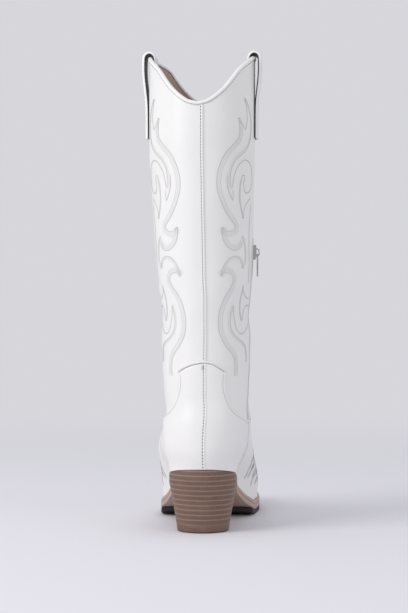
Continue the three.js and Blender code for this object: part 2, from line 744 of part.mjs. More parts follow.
// Pull straps: a folded band over each tip of the collar, sewn to the shaft outside and inside. Out is
// a share of the loop's bulge past the leather and up runs from the band's lower end to its top.
const strapMiddle = mix(backAt(collarHeight), frontAt(collarHeight), 0.5);
const strapRows = [
  { out: 0, up: 0 },
  { out: 0.02, up: 0.28 },
  { out: 0.12, up: 0.42 },
  { out: 0.51, up: 0.57 },
  { out: 0.93, up: 0.73 },
  { out: 1, up: 0.88 },
  { out: 0.65, up: 0.97 },
  { out: -0.2, up: 1 },
  { out: -1.3, up: 0.965 },
  { out: -1.56, up: 0.88 },
  { out: -1.32, up: 0.73 },
  { out: -1.14, up: 0.57 },
  { out: -1, up: 0.42 },
  { out: -0.95, up: 0.28 },
  { out: -0.95, up: 0 },
];
const strapStations = [-0.5, -0.17, 0.17, 0.5];
function strapGeometry(side) {
  const route = new THREE.CatmullRomCurve3(
    strapRows.map(
      ({ out, up }) =>
        new THREE.Vector3(
          out * strapBulge + seatGap + strapThickness / 2,
          0,
          mix(collarHeight - strapDrop, collarHeight + strapRise - strapThickness / 2, up),
        ),
    ),
    false,
    "centripetal",
  );
  const rings = [];
  for (let step = 0; step <= strapSteps; step += 1) {
    const spot = route.getPointAt(step / strapSteps);
    const heading = route.getTangentAt(step / strapSteps);
    const across = new THREE.Vector3(heading.z, 0, -heading.x).multiplyScalar(strapThickness / 2);
    const edge = (sign) =>
      strapStations.map((share) => {
        const y = strapMiddle + share * strapWidth;
        const z = Math.min(spot.z, collarHeight);
        const base = centreAt(y, z) + side * halfWidthAt(side, y, z);
        return new THREE.Vector3(base + side * (spot.x + sign * across.x), y, spot.z + sign * across.z);
      });
    rings.push([...edge(1), ...edge(-1).reverse()]);
  }
  if (side > 0) rings.reverse();
  return ringsSurface(rings, false);
}
addPiece("pull_strap_outer", strapGeometry(-1), white);
addPiece("pull_strap_inner", strapGeometry(1), white);

// Sole layers: rings around the sole line, pushed out by the welt's edge
function soleRing(edgeOf, drop) {
  return columns.map((i) => {
    const spot = skin[0][i];
    const point = spot.clone().addScaledVector(outward[0][i], edgeOf(spot.y));
    return point.setZ(soleLine(spot.y) - drop);
  });
}
const soleEdgeAt = (y) => soleEdge(alongAt(y));
function soleLayer(edgeOf, drop, thickness) {
  return ringsSurface([soleRing(edgeOf, drop + thickness), soleRing(edgeOf, drop)], false);
}
addPiece("insole", soleLayer(() => -upperWall - insoleInset, -insoleThickness, insoleThickness), lining);
const weltDrop = seatGap;
const outsoleDrop = weltDrop + weltThickness + seatGap;
const treadDrop = outsoleDrop + outsoleThickness + seatGap;
addPiece("welt", soleLayer(soleEdgeAt, weltDrop, weltThickness), soleLeather);
addPiece("outsole", soleLayer(soleEdgeAt, outsoleDrop, outsoleThickness), soleLeather);
const treadRear = heelBack + treadStart * footLength;
const treadRings = [
  soleRing((y) => soleEdgeAt(y) - treadChamfer, treadDrop + treadThickness),
  soleRing(soleEdgeAt, treadDrop + treadThickness - treadChamfer),
  soleRing(soleEdgeAt, treadDrop),
];
const tread = solid(ringsSurface(treadRings, false)).intersect(
  sideCutter(
    [
      [treadRear, -farOut],
      [2 * farOut, -farOut],
      [2 * farOut, farOut],
      [treadRear, farOut],
    ],
    -farOut,
    farOut,
  ),
);
addPiece("forefoot_tread", geometryOf(tread), blackRubber);

// Heel: a D-shaped stack that tapers from the outsole to its ground face
const heelTopRing = soleRing(soleEdgeAt, treadDrop);
const heelBackTop = heelTopRing[0].y;
const breast = heelBackTop + heelTopLength;
const heelColumns = columns.filter((i) => i < columnsPerSide && heelTopRing[i].y < breast).length;
function breastPoint(from, to) {
  const share = (breast - from.y) / (to.y - from.y);
  return from.clone().lerp(to, share);
}
const heelSeat = [
  ...heelTopRing.slice(0, heelColumns),
  breastPoint(heelTopRing[heelColumns - 1], heelTopRing[heelColumns]),
  breastPoint(
    heelTopRing[columnCount - heelColumns + 1],
    heelTopRing[columnCount - heelColumns],
  ),
  ...heelTopRing.slice(columnCount - heelColumns + 1),
];
const seatHalfWidth = Math.max(...heelSeat.map((point) => Math.abs(point.x)));
function heelRing(heightOf) {
  return heelSeat.map((seat) => {
    const z = heightOf(seat.z);
    const share = (z / seat.z) ** heelHollow;
    const baseX = (seat.x * heelBaseHalfWidth) / seatHalfWidth;
    const baseY = ((seat.y - heelBackTop) / heelTopLength - 0.5) * heelBaseLength;
    return new THREE.Vector3(mix(baseX, seat.x, share), mix(baseY, seat.y, share), z);
  });
}
const stackBottom = topliftThickness + seatGap;
const heelSteps = [0, 0.2, 0.4, 0.6, 0.8, 1];
const heelRings = heelSteps.map((step) => heelRing((seatZ) => mix(stackBottom, seatZ, step)));
addPiece("heel_stack", ringsSurface(heelRings, false), heelLeather);
const topliftRings = [heelRing(() => 0), heelRing(() => topliftThickness)];
addPiece("heel_toplift", ringsSurface(topliftRings, false), heelLeather);

export default boot;
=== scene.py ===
# A knee-high western boot for the left foot, seen from behind. Sizes are in millimetres unless they
# are written otherwise. +Z is up, the toe points along +Y and the inner side is +X.
import math

import bmesh
import bpy
import numpy as np
from mathutils import Matrix, Vector
from mathutils.bvhtree import BVHTree


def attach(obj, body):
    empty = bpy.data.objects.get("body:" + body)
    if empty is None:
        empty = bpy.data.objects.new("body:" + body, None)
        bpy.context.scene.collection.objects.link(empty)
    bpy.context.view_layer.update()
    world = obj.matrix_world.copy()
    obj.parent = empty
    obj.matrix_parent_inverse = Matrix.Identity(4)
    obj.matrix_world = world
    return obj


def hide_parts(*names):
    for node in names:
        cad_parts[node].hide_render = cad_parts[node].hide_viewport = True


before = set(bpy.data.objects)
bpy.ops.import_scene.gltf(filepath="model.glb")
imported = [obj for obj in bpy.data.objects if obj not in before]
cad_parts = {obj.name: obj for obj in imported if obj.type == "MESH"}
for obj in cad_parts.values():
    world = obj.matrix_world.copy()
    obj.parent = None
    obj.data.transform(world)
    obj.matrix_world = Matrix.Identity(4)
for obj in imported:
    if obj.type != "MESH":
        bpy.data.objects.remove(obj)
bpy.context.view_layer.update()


# Upper: the shaft and foot in smooth white leather with a taupe lining, drawn over a last and
# closed at the back and front seams. It is one hollow wall, open at the collar and underneath.
heel_height = 57
collar_height = 419.5
back_dip = 47
front_dip = 35
foot_length = 262
ball_half_width = 46
shaft_half_width = 47.2
shaft_depth = 130
ankle_height = 150
bend_height = 175
toe_swing = 12
toe_spring = 8
side_bulge_height = 45
ankle_blend_height = 55.5
round_power = 2.1
heel_back = -31.5
forefoot_top = 13.3
seat_gap = 0.3
upper_wall = 1.8

back_line = {
    "rise": [0, 0.049, 0.109, 0.172, 0.253, 0.39, 0.526, 0.662, 0.866, 1],
    "back": [0, -0.027, -0.023, 0, 0.004, -0.019, -0.05, -0.081, -0.112, -0.115],
}
shaft_sections = {
    "rise": [0, 0.1, 0.13, 0.177, 0.251, 0.31, 0.355, 0.405, 0.455, 0.505, 0.61, 0.71, 0.76, 1],
    "half": [0.78, 0.775, 0.745, 0.78, 0.815, 0.83, 0.812, 0.83, 0.885, 0.915, 0.95, 0.98, 1, 1],
    "lean": [0.015, 0.045, 0.05, 0.036, 0.032, 0.03, 0.026, 0.026, 0.006, 0, -0.016, -0.03, -0.036, -0.038],
    "reach": [0.46, 0.6, 0.64, 0.7, 0.77, 0.79, 0.8, 0.82, 0.86, 0.9, 0.95, 0.98, 1, 1],
}
foot_sections = {
    "along": [0, 0.1, 0.227, 0.31, 0.406, 0.5, 0.597, 0.674, 0.769, 0.864, 0.941, 1],
    "swing": [0, 0, 0, 0, 0.04, 0.12, 0.21, 0.33, 0.54, 0.75, 0.92, 1.04],
    "sole_outer": [0.55, 0.6, 0.61, 0.64, 0.77, 0.94, 1.02, 0.985, 0.82, 0.59, 0.38, 0.2],
    "sole_inner": [0.55, 0.6, 0.585, 0.565, 0.65, 0.76, 0.8, 0.81, 0.735, 0.57, 0.37, 0.2],
    "body_outer": [0.66, 0.71, 0.84, 0.94, 1.01, 1.02, 1.05, 0.99, 0.82, 0.59, 0.38, 0.2],
    "body_inner": [0.66, 0.7, 0.79, 0.82, 0.83, 0.825, 0.82, 0.82, 0.735, 0.57, 0.37, 0.2],
    "bulge": [0.6, 0.6, 0.7, 0.88, 1, 1, 1, 1, 1, 1, 1, 1],
}
sole_line_rows = {
    "along": [0, 0.1, 0.227, 0.31, 0.37, 0.43, 0.5, 0.55, 0.585, 0.7, 0.77, 0.86, 0.94, 1],
    "drop": [1, 0.886, 0.725, 0.53, 0.382, 0.233, 0.105, 0.03, 0, 0, 0, 0, 0, 0],
    "spring": [0, 0, 0, 0, 0, 0, 0, 0, 0, 0, 0.12, 0.45, 0.76, 1],
    "edge": [0.57, 0.57, 0.6, 0.7, 0.78, 0.87, 0.96, 1, 1, 1, 1, 1, 1, 1],
}
instep_ridge = {
    "along": [1, 1, 0.987, 0.945, 0.845, 0.73, 0.617, 0.502, 0.433, 0.395, 0.3817],
    "height": [0.12, 0.155, 0.2, 0.24, 0.31, 0.4, 0.537, 0.68, 0.8, 0.914, 1],
    "reach": [0.18, 0.2, 0.26, 0.36, 0.53, 0.68, 0.76, 0.78, 0.78, 0.77, 0.77],
}
shaft_front = {
    "rise": [0.1, 0.3, 0.5, 0.8, 1],
    "front": [0.773, 0.819, 0.858, 0.888, 0.896],
    "reach": [0.78, 0.86, 0.94, 1, 1],
}
collar_scallop = {
    "from_seam": [0, 0.1, 0.2, 0.3, 0.4, 0.5, 0.6, 0.75, 0.9, 1],
    "back": [0, 0.045, 0.15, 0.29, 0.465, 0.64, 0.76, 0.89, 0.985, 1],
    "front": [0, 0.09, 0.25, 0.44, 0.67, 0.88, 0.955, 1, 1, 1],
}


def mix(low, high, share):
    return low + (high - low) * share


def smooth(share):
    share = np.clip(share, 0, 1)
    return share * share * (3 - 2 * share)


def rounded(share):
    return (1 - (1 - np.clip(share, 0, 1)) ** round_power) ** (1 / round_power)


def column(rows, place, value, scale=1):
    """A smooth line through two columns of a table that never overshoots its values."""
    at = np.array(rows[place], float)
    values = np.array(rows[value], float) * scale
    secants = np.diff(values) / np.diff(at)
    before = np.concatenate([secants[:1], secants])
    after = np.concatenate([secants, secants[-1:]])
    total = before + after
    slopes = np.where(before * after > 0, 2 * before * after / np.where(total == 0, 1, total), 0)

    def line(where):
        spot = np.clip(where, at[0], at[-1])
        i = np.clip(np.searchsorted(at, spot) - 1, 0, len(at) - 2)
        span = at[i + 1] - at[i]
        t = (spot - at[i]) / span
        bulge = span * t * (1 - t) * ((1 - t) * slopes[i] - t * slopes[i + 1])
        return values[i] + t * t * (3 - 2 * t) * (values[i + 1] - values[i]) + bulge

    return line


back_share = column(back_line, "rise", "back", shaft_depth)
shaft_half = column(shaft_sections, "rise", "half", shaft_half_width)
shaft_lean = column(shaft_sections, "rise", "lean", shaft_half_width)
back_reach = column(shaft_sections, "rise", "reach", shaft_depth / 2)
sole_drop = column(sole_line_rows, "along", "drop", heel_height - forefoot_top)
sole_rise = column(sole_line_rows, "along", "spring", toe_spring)
bulge_height = column(foot_sections, "along", "bulge", side_bulge_height)
foot_swing = column(foot_sections, "along", "swing", toe_swing)
foot_half = {name: column(foot_sections, "along", name, ball_half_width) for name in list(foot_sections)[2:6]}
back_scallop = column(collar_scallop, "from_seam", "back")
front_scallop = column(collar_scallop, "from_seam", "front")


def rise_at(z):
    return (z - heel_height) / (collar_height - heel_height)


def along_at(y):
    return (y - heel_back) / foot_length


def back_at(z):
    return heel_back + back_share(rise_at(z))


def sole_line(y):
    return forefoot_top + sole_drop(along_at(y)) + sole_rise(along_at(y))


def ridge_line(count=961):
    """The front line from the toe tip to the collar, evenly spaced: y, z and how deep its round goes."""
    knots = [
        (heel_back + along * foot_length, height * bend_height, reach * shaft_depth / 2)
        for along, height, reach in zip(*instep_ridge.values())
    ] + [
        (heel_back + front * shaft_depth, mix(bend_height, collar_height, rise), reach * shaft_depth / 2)
        for rise, front, reach in zip(*shaft_front.values())
    ]
    knots = np.array(knots)
    knots = np.vstack([2 * knots[0] - knots[1], knots, 2 * knots[-1] - knots[-2]])
    spots = []
    for i in range(1, len(knots) - 2):
        p0, p1, p2, p3 = knots[i - 1 : i + 3]
        d0, d1, d2 = (max(np.linalg.norm(b - a) ** 0.5, 1e-4) for a, b in ((p0, p1), (p1, p2), (p2, p3)))
        m1 = ((p1 - p0) / d0 - (p2 - p0) / (d0 + d1) + (p2 - p1) / d1) * d1
        m2 = ((p2 - p1) / d1 - (p3 - p1) / (d1 + d2) + (p3 - p2) / d2) * d1
        t = np.linspace(0, 1, 120, endpoint=False)[:, None]
        spots.append(p1 + m1 * t + (3 * (p2 - p1) - 2 * m1 - m2) * t**2 + (2 * (p1 - p2) + m1 + m2) * t**3)
    line = np.vstack(spots + [knots[-2:-1]])
    length = np.concatenate([[0], np.cumsum(np.linalg.norm(np.diff(line, axis=0), axis=1))])
    return np.column_stack(
        [np.interp(np.linspace(0, length[-1], count), length, line[:, axis]) for axis in range(3)]
    )


ridge = ridge_line()
bend_index = int(np.argmax(ridge[:, 1] >= bend_height))


def front_at(z):
    return np.interp(z, ridge[:, 1], ridge[:, 0])


def ridge_share(y, z):
    """How far a side-view place lies inside the front line, as a share of the round's depth there."""
    share = np.empty(len(y))
    for start in range(0, len(y), 4000):
        py, pz = y[start : start + 4000], z[start : start + 4000]
        away = (py[:, None] - ridge[None, :, 0]) ** 2 + (pz[:, None] - ridge[None, :, 1]) ** 2
        nearest = np.clip(np.argmin(away, axis=1), 1, len(ridge) - 2)
        best = np.full(len(py), np.inf)
        for first in (nearest - 1, nearest):
            a, b = ridge[first, :2], ridge[first + 1, :2]
            step = b - a
            t = np.clip(((py - a[:, 0]) * step[:, 0] + (pz - a[:, 1]) * step[:, 1]) / (step**2).sum(1), 0, 1)
            best = np.minimum(best, np.hypot(a[:, 0] + t * step[:, 0] - py, a[:, 1] + t * step[:, 1] - pz))
        share[start : start + 4000] = best / ridge[nearest, 2]
    return share


def centre_at(y, z):
    return mix(foot_swing(along_at(y)), shaft_lean(rise_at(z)), smooth((z - heel_height) / ankle_blend_height))


def skin_x(side, y, z):
    """The skin over side-view places: side is -1 on the outer and 1 on the inner half."""
    side, y, z = (np.ravel(v).astype(float) for v in np.broadcast_arrays(side, y, z))
    along = along_at(y)
    swell = smooth((z - sole_line(y)) / bulge_height(along))
    outer = mix(foot_half["sole_outer"](along), foot_half["body_outer"](along), swell)
    inner = mix(foot_half["sole_inner"](along), foot_half["body_inner"](along), swell)
    blend = smooth((z - heel_height) / ankle_blend_height)
    half = mix(np.where(side < 0, outer, inner), shaft_half(rise_at(z)), blend)
    half = half * rounded((y - back_at(z)) / back_reach(rise_at(z))) * rounded(ridge_share(y, z))
    return centre_at(y, z) + side * half


# Creases of the shaft, the ankle and the ball, listed one by one. Turn is the angle round the boot from
# the back seam, negative on the outer side, and spread is half the crease's length, both in degrees.
# Slant is the fall of the crease per degree, depth is how deep it is and width how wide.
creases = {
    "turn": [-92, -78, -100, -64, 70, 96, 58, -30, 24, -128, 132, 150, -152, 176, -168, 165, -118, 116],
    "z": [158, 172, 196, 186, 166, 190, 204, 208, 196, 160, 168, 190, 186, 150, 128, 118, 140, 132],
    "spread": [34, 40, 38, 30, 34, 36, 28, 26, 24, 40, 38, 34, 36, 44, 46, 40, 34, 34],
    "slant": [0.1, -0.12, 0.16, -0.2, 0.16, -0.14, 0.2, 0.12, -0.1, 0.12, -0.1, 0.14, -0.1, 0, 0.1, -0.12, 0.1, -0.1],
    "depth": [0.9, 0.6, 0.7, 0.35, 0.5, 0.45, 0.3, 0.3, 0.25, 0.9, 0.8, 0.7, 0.7, 1.1, 0.9, 0.8, 0.5, 0.5],
    "width": [7, 6, 9, 8, 8, 9, 8, 12, 12, 7, 7, 9, 9, 6, 6, 6, 7, 7],
}


def crease_depth(turn, z):
    """How far the leather rises or sinks from the last at an angle round the boot and a height."""
    degrees = np.degrees(turn)
    depth = np.zeros(np.broadcast(degrees, z).shape)
    for at, height, spread, slant, deep, width in zip(*creases.values()):
        away = (degrees - at + 180) % 360 - 180
        drop = (z - height + slant * away) / width
        fade = smooth(1.3 * (1 - np.abs(away) / spread))
        trough = -np.exp(-(drop**2)) + 0.55 * np.exp(-((drop - 1.7) ** 2)) + 0.55 * np.exp(-((drop + 1.7) ** 2))
        depth = depth + deep * fade * trough
    return depth


def turn_at(side, y, z):
    """The angle round the boot of a side-view place."""
    across = (y - back_at(z)) / (front_at(z) - back_at(z))
    return side * np.arccos(np.clip(1 - 2 * across, -1, 1))


def leather(turn, z, out=0.0):
    """Points on the boot at angles and heights, raised off the leather, and the way out of it there."""
    turn, z, out = (np.ravel(v).astype(float) for v in np.broadcast_arrays(turn, z, out))

    def bare(angle, height):
        angle = (angle + np.pi) % (2 * np.pi) - np.pi
        y = mix(back_at(height), front_at(height), (1 - np.cos(angle)) / 2)
        return np.column_stack([skin_x(np.where(angle < 0, -1, 1), y, height), y, height])

    step, climb = 0.012, 0.6
    around = bare(turn + step, z) - bare(turn - step, z)
    up = bare(turn, z + climb) - bare(turn, z - climb)
    normal = np.cross(around, up)
    normal /= np.linalg.norm(normal, axis=1)[:, None]
    return bare(turn, z) + normal * (out + crease_depth(turn, z))[:, None], normal


# The upper's grid: columns run from the back seam along the outer side to the front and back along
# the inner side, rows from the sole line to the collar, as on a sock.
columns_per_side = 72
column_count = 2 * columns_per_side
foot_rows = 56
shaft_rows = 62


def foot_place(across, level):
    """Side-view places of the foot between the sole, the back line, the instep and the ankle."""

    def ankle(share):
        z = mix(ankle_height, ridge[bend_index, 1], share)
        return np.array([mix(back_at(z), front_at(z), share), z])

    def sole(share):
        y = heel_back + share * foot_length
        return np.array([y, sole_line(y)])

    back_z = mix(heel_height, ankle_height, level)
    back = np.array([back_at(back_z), back_z])
    spot = level * bend_index
    front = np.array([np.interp(spot, np.arange(len(ridge)), ridge[:, axis]) for axis in (0, 1)])
    corners = [sole(0.0), sole(1.0), ankle(0.0), ankle(1.0)]
    low = mix(corners[0][:, None], corners[1][:, None], across)
    high = mix(corners[2][:, None], corners[3][:, None], across)
    return mix(sole(across), ankle(across), level) + mix(back, front, across) - mix(low, high, level)


def shaft_place(folded, level):
    across = (1 - np.cos(np.pi * folded / columns_per_side)) / 2
    from_seam = 1 - np.abs(folded - columns_per_side / 2) / (columns_per_side / 2)
    at_back = back_dip * (1 - back_scallop(from_seam))
    at_front = front_dip * (1 - front_scallop(from_seam))
    top = collar_height - np.where(folded < columns_per_side / 2, at_back, at_front)
    z = mix(mix(ankle_height, ridge[bend_index, 1], across), top, level)
    return np.array([mix(back_at(z), front_at(z), across), z])


def sock_grid():
    """Points and outward directions of the whole skin as rows of columns."""
    index = np.arange(column_count)
    folded = np.where(index <= columns_per_side, index, column_count - index).astype(float)
    side = np.where(index <= columns_per_side, -1, 1)
    across = (1 - np.cos(np.pi * folded / columns_per_side)) / 2
    places = []
    for row in range(foot_rows + shaft_rows + 1):
        level = np.full(column_count, min(1.0, row / foot_rows) ** 1.25)
        if row <= foot_rows:
            places.append(foot_place(across, level))
        else:
            places.append(shaft_place(folded, (row - foot_rows) / shaft_rows))
    places = np.array(places)
    y, z = places[:, 0].ravel(), places[:, 1].ravel()
    sides = np.tile(side, len(places))
    x = skin_x(sides, y, z)
    seam = np.tile((folded == 0) | (folded == columns_per_side), len(places))
    x = np.where(seam, centre_at(y, z), x)
    points = np.column_stack([x, y, z]).reshape(len(places), column_count, 3)
    around = np.roll(points, -1, axis=1) - np.roll(points, 1, axis=1)
    up = np.gradient(points, axis=0)
    normal = -np.cross(around, up)
    normal[0, :, 2] = 0
    normal /= np.linalg.norm(normal, axis=2)[:, :, None]
    turn = turn_at(sides, y, z).reshape(len(places), column_count)
    return points, normal, turn


skin, outward, skin_turn = sock_grid()
skin_crease = crease_depth(skin_turn, skin[:, :, 2])
top_row = len(skin) - 1
skin_crease *= smooth((skin[:, :, 2] - sole_line(skin[:, :, 1])) / 12)[:, :]


def pushed(out, rows=slice(None)):
    return skin[rows] + outward[rows] * (skin_crease[rows] + out)[:, :, None]


def piece_from(name, points, faces, smooth_angle=None):
    """A mesh object from points in millimetres, smooth shaded, with its sharp edges kept where asked."""
    mesh = bpy.data.meshes.new(name)
    shape = bmesh.new()
    corners = [shape.verts.new(Vector(point) * 0.001) for point in np.asarray(points, float)]
    for face in faces:
        shape.faces.new([corners[i] for i in face])
    if shape.calc_volume(signed=True) < 0:
        bmesh.ops.reverse_faces(shape, faces=shape.faces)
    shape.to_mesh(mesh)
    shape.free()
    mesh.polygons.foreach_set("use_smooth", [True] * len(mesh.polygons))
    mesh.validate()
    piece = bpy.data.objects.new(name, mesh)
    bpy.context.scene.collection.objects.link(piece)
    if smooth_angle is not None:
        bpy.ops.object.select_all(action="DESELECT")
        piece.select_set(True)
        bpy.context.view_layer.objects.active = piece
        bpy.ops.object.shade_smooth_by_angle(angle=math.radians(smooth_angle))
    return piece


def grid_faces(rows, count, wrap_rows=False, wrap_columns=True, first=0):
    """Quads over a grid of points, facing out where columns run clockwise seen from above."""
    faces = []
    for row in range(rows if wrap_rows else rows - 1):
        above = (row + 1) % rows
        for i in range(count if wrap_columns else count - 1):
            right = (i + 1) % count
            faces.append(
                (first + row * count + i, first + above * count + i,
                 first + above * count + right, first + row * count + right)
            )
    return faces


def leather_material(name, colour, roughness, grain=0.05, grain_size=900.0, coat=0.25, slot_mottle=0.03):
    """Smooth finished leather: a fine pebble grain under a satin coat, with a faint cloudiness."""
    material = bpy.data.materials.new(name)
    material.use_nodes = True
    nodes, links = material.node_tree.nodes, material.node_tree.links
    shader = nodes["Principled BSDF"]
    place = nodes.new("ShaderNodeTexCoord")
    pebbles = nodes.new("ShaderNodeTexVoronoi")
    pebbles.feature = "SMOOTH_F1"
    pebbles.inputs["Scale"].default_value = grain_size
    pebbles.inputs["Randomness"].default_value = 1
    links.new(place.outputs["Object"], pebbles.inputs["Vector"])
    clouds = nodes.new("ShaderNodeTexNoise")
    clouds.inputs["Scale"].default_value = 22
    clouds.inputs["Detail"].default_value = 4
    links.new(place.outputs["Object"], clouds.inputs["Vector"])
    tint = nodes.new("ShaderNodeValToRGB")
    darker = [c * (1 - slot_mottle) for c in colour]
    tint.color_ramp.elements[0].position = 0.35
    tint.color_ramp.elements[0].color = (*darker, 1)
    tint.color_ramp.elements[1].position = 0.65
    tint.color_ramp.elements[1].color = (*colour, 1)
    links.new(clouds.outputs["Fac"], tint.inputs["Fac"])
    links.new(tint.outputs["Color"], shader.inputs["Base Color"])
    gloss = nodes.new("ShaderNodeMapRange")
    gloss.inputs["To Min"].default_value = roughness - 0.05
    gloss.inputs["To Max"].default_value = roughness + 0.05
    links.new(clouds.outputs["Fac"], gloss.inputs["Value"])
    links.new(gloss.outputs["Result"], shader.inputs["Roughness"])
    relief = nodes.new("ShaderNodeBump")
    relief.inputs["Strength"].default_value = grain
    relief.inputs["Distance"].default_value = 0.0004
    links.new(pebbles.outputs["Distance"], relief.inputs["Height"])
    links.new(relief.outputs["Normal"], shader.inputs["Normal"])
    shader.inputs["Coat Weight"].default_value = coat
    shader.inputs["Coat Roughness"].default_value = 0.3
    shader.inputs["Specular IOR Level"].default_value = 0.4
    return material


white_leather = leather_material("smooth white leather", (0.83, 0.825, 0.81), 0.42)
taupe_lining = leather_material("taupe lining leather", (0.5, 0.365, 0.31), 0.72, 0.1, 1100.0, 0.0, 0.08)

outer_wall = pushed(0)
inner_wall = pushed(-upper_wall)[::-1]
walls = np.concatenate([outer_wall, inner_wall])
upper = piece_from("shaft_and_foot", walls.reshape(-1, 3), grid_faces(len(walls), column_count, wrap_rows=True))
upper.data.materials.append(white_leather)
upper.data.materials.append(taupe_lining)
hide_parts("upper")
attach(upper, "boot")

# Heel counter: a white leather piece over the back of the foot, with a high ear up the back seam and
# shoulders that fall to the sides. Its top edge is folded to a roll, and it is stitched down all round.
overlay_thickness = 1.4
ear_peak = 151
ear_corner = 143
ear_half_width = 20
ear_waist = 19.4
shoulder_height = 96
seam_lean = 6
counter_front = {-1: 40, 1: 31}
ear_bead_height = 0.9
seam_ridge_height = 0.75
seam_ridge_side = 0.55
seam_groove_side = -0.75

girth_heights = np.arange(30.0, 424.0, 3.0)
girth_turns = np.linspace(-np.pi, np.pi, 481)


def girth_table():
    """How far round the leather each angle lies from the back seam, and where it stands, by height."""
    turns, heights = np.meshgrid(girth_turns, girth_heights)
    y = mix(back_at(heights), front_at(heights), (1 - np.cos(turns)) / 2)
    x = skin_x(np.where(turns < 0, -1, 1).ravel(), y.ravel(), heights.ravel()).reshape(turns.shape)
    step = np.hypot(np.diff(x, axis=1), np.diff(y, axis=1))
    length = np.concatenate([np.zeros((len(x), 1)), np.cumsum(step, axis=1)], axis=1)
    return length - length[:, [len(girth_turns) // 2]], x


girth, girth_x = girth_table()


def across_heights(table, z):
    """The two table rows that stand round each height, and the share between them."""
    spot = np.clip((z - girth_heights[0]) / (girth_heights[1] - girth_heights[0]), 0, len(table) - 1.001)
    row = spot.astype(int)
    return row, spot - row


def round_at(turn, z):
    """The distance round the leather from the back seam, in millimetres."""
    turn, z = (np.ravel(v).astype(float) for v in np.broadcast_arrays(turn, z))
    row, share = across_heights(girth, z)
    low = np.array([np.interp(t, girth_turns, girth[r]) for t, r in zip(turn, row)])
    high = np.array([np.interp(t, girth_turns, girth[r + 1]) for t, r in zip(turn, row)])
    return mix(low, high, share)


def turn_of(distance, z):
    """The angle round the boot of a distance round the leather."""
    distance, z = (np.ravel(v).astype(float) for v in np.broadcast_arrays(distance, z))
    row, share = across_heights(girth, z)
    low = np.array([np.interp(d, girth[r], girth_turns) for d, r in zip(distance, row)])
    high = np.array([np.interp(d, girth[r + 1], girth_turns) for d, r in zip(distance, row)])
    return mix(low, high, share)


def turn_behind(x, z):
    """The angle of a place on the back half of the shaft that is seen at x from behind."""
    middle = len(girth_turns) // 2
    turns = []
    for across, height in zip(np.ravel(x), np.ravel(z)):
        row, share = across_heights(girth, np.array([height]))
        line = mix(girth_x[row[0]], girth_x[row[0] + 1], share[0])
        left, right = int(np.argmin(line)), int(np.argmax(line))
        first, last = min(left, middle), max(right, middle)
        turns.append(np.interp(across, line[first : last + 1], girth_turns[first : last + 1]))
    return np.array(turns)


def flowing(points, count):
    """Evenly spaced points on a soft curve through hand-set ones."""
    knots = np.array(points, float)
    knots = np.vstack([2 * knots[0] - knots[1], knots, 2 * knots[-1] - knots[-2]])
    spots = []
    for i in range(1, len(knots) - 2):
        p0, p1, p2, p3 = knots[i - 1 : i + 3]
        d0, d1, d2 = (max(np.linalg.norm(b - a) ** 0.5, 1e-6) for a, b in ((p0, p1), (p1, p2), (p2, p3)))
        m1 = ((p1 - p0) / d0 - (p2 - p0) / (d0 + d1) + (p2 - p1) / d1) * d1
        m2 = ((p2 - p1) / d1 - (p3 - p1) / (d1 + d2) + (p3 - p2) / d2) * d1
        t = np.linspace(0, 1, 24, endpoint=False)[:, None]
        spots.append(p1 + m1 * t + (3 * (p2 - p1) - 2 * m1 - m2) * t**2 + (2 * (p1 - p2) + m1 + m2) * t**3)
    return evenly(np.vstack(spots + [knots[-2:-1]]), count)


def evenly(line, count):
    length = np.concatenate([[0], np.cumsum(np.linalg.norm(np.diff(line, axis=0), axis=1))])
    spots = np.linspace(0, length[-1], count)
    return np.column_stack([np.interp(spots, length, line[:, axis]) for axis in range(line.shape[1])])


def side_seam(side, place, count=40):
    """The counter's front edge, also the vamp's rear edge: distance round and height, from the sole up."""
    rows = [
        (place - seam_lean, sole_line(place - seam_lean)),
        (place - 0.67 * seam_lean, 0.75 * heel_height),
        (place - 0.17 * seam_lean, 0.5 * (heel_height + shoulder_height)),
        (place, shoulder_height),
    ]
    if rows[0][1] > rows[1][1] - 2:
        del rows[1]
    y, z = flowing(rows, count).T
    turn = turn_at(side, y, z)
    return np.column_stack([round_at(turn, z), z])


def counter_top(side, place):
    """The counter's upper edge from the ear's peak to the top of its side seam."""
    ear_x = np.linspace(0, -ear_half_width, 24)
    ear = np.column_stack([ear_x, ear_peak - (ear_peak - ear_corner) * (ear_x / ear_half_width) ** 2])
    shoulder = [
        (-ear_half_width, ear_corner),
        (-ear_waist, mix(shoulder_height, ear_corner, 0.65)),
        (-1.25 * ear_half_width, mix(shoulder_height, ear_corner, 0.3)),
        (-1.7 * ear_half_width, mix(shoulder_height, ear_corner, 0.1)),
    ]

    def on_leather(line):
        x, z = line.T
        return np.column_stack([round_at(turn_behind(-side * x, z), z), z])

    seam_end = side_seam(side, place)[-1]
    down = on_leather(flowing(shoulder, 40))
    reach = mix(down[-1], seam_end, 0.45)
    out = flowing([down[-1], (reach[0], shoulder_height + 0.6), seam_end], 16)
    return np.vstack([on_leather(ear), down[1:], out[1:]])


def coons(low, high, left, right, across, up):
    """A grid between four edges: low and high run across, left and right run up."""
    def along(line, share):
        spots = share * (len(line) - 1)
        return np.column_stack([np.interp(spots, np.arange(len(line)), line[:, axis]) for axis in (0, 1)])

    bottom, top = along(low, across)[None], along(high, across)[None]
    first, last = along(left, up)[:, None], along(right, up)[:, None]
    a, u = across[None, :, None], up[:, None, None]
    corners = mix(mix(bottom[:, :1], bottom[:, -1:], a), mix(top[:, :1], top[:, -1:], a), u)
    return mix(bottom, top, u) + mix(first, last, a) - corners


def edge_round(away, thickness, radius=1.3):
    """The height of a piece's rounded edge, a distance in from the edge."""
    share = np.clip(away / radius, 0, 1)
    return thickness * np.sqrt(1 - (1 - share) ** 2)


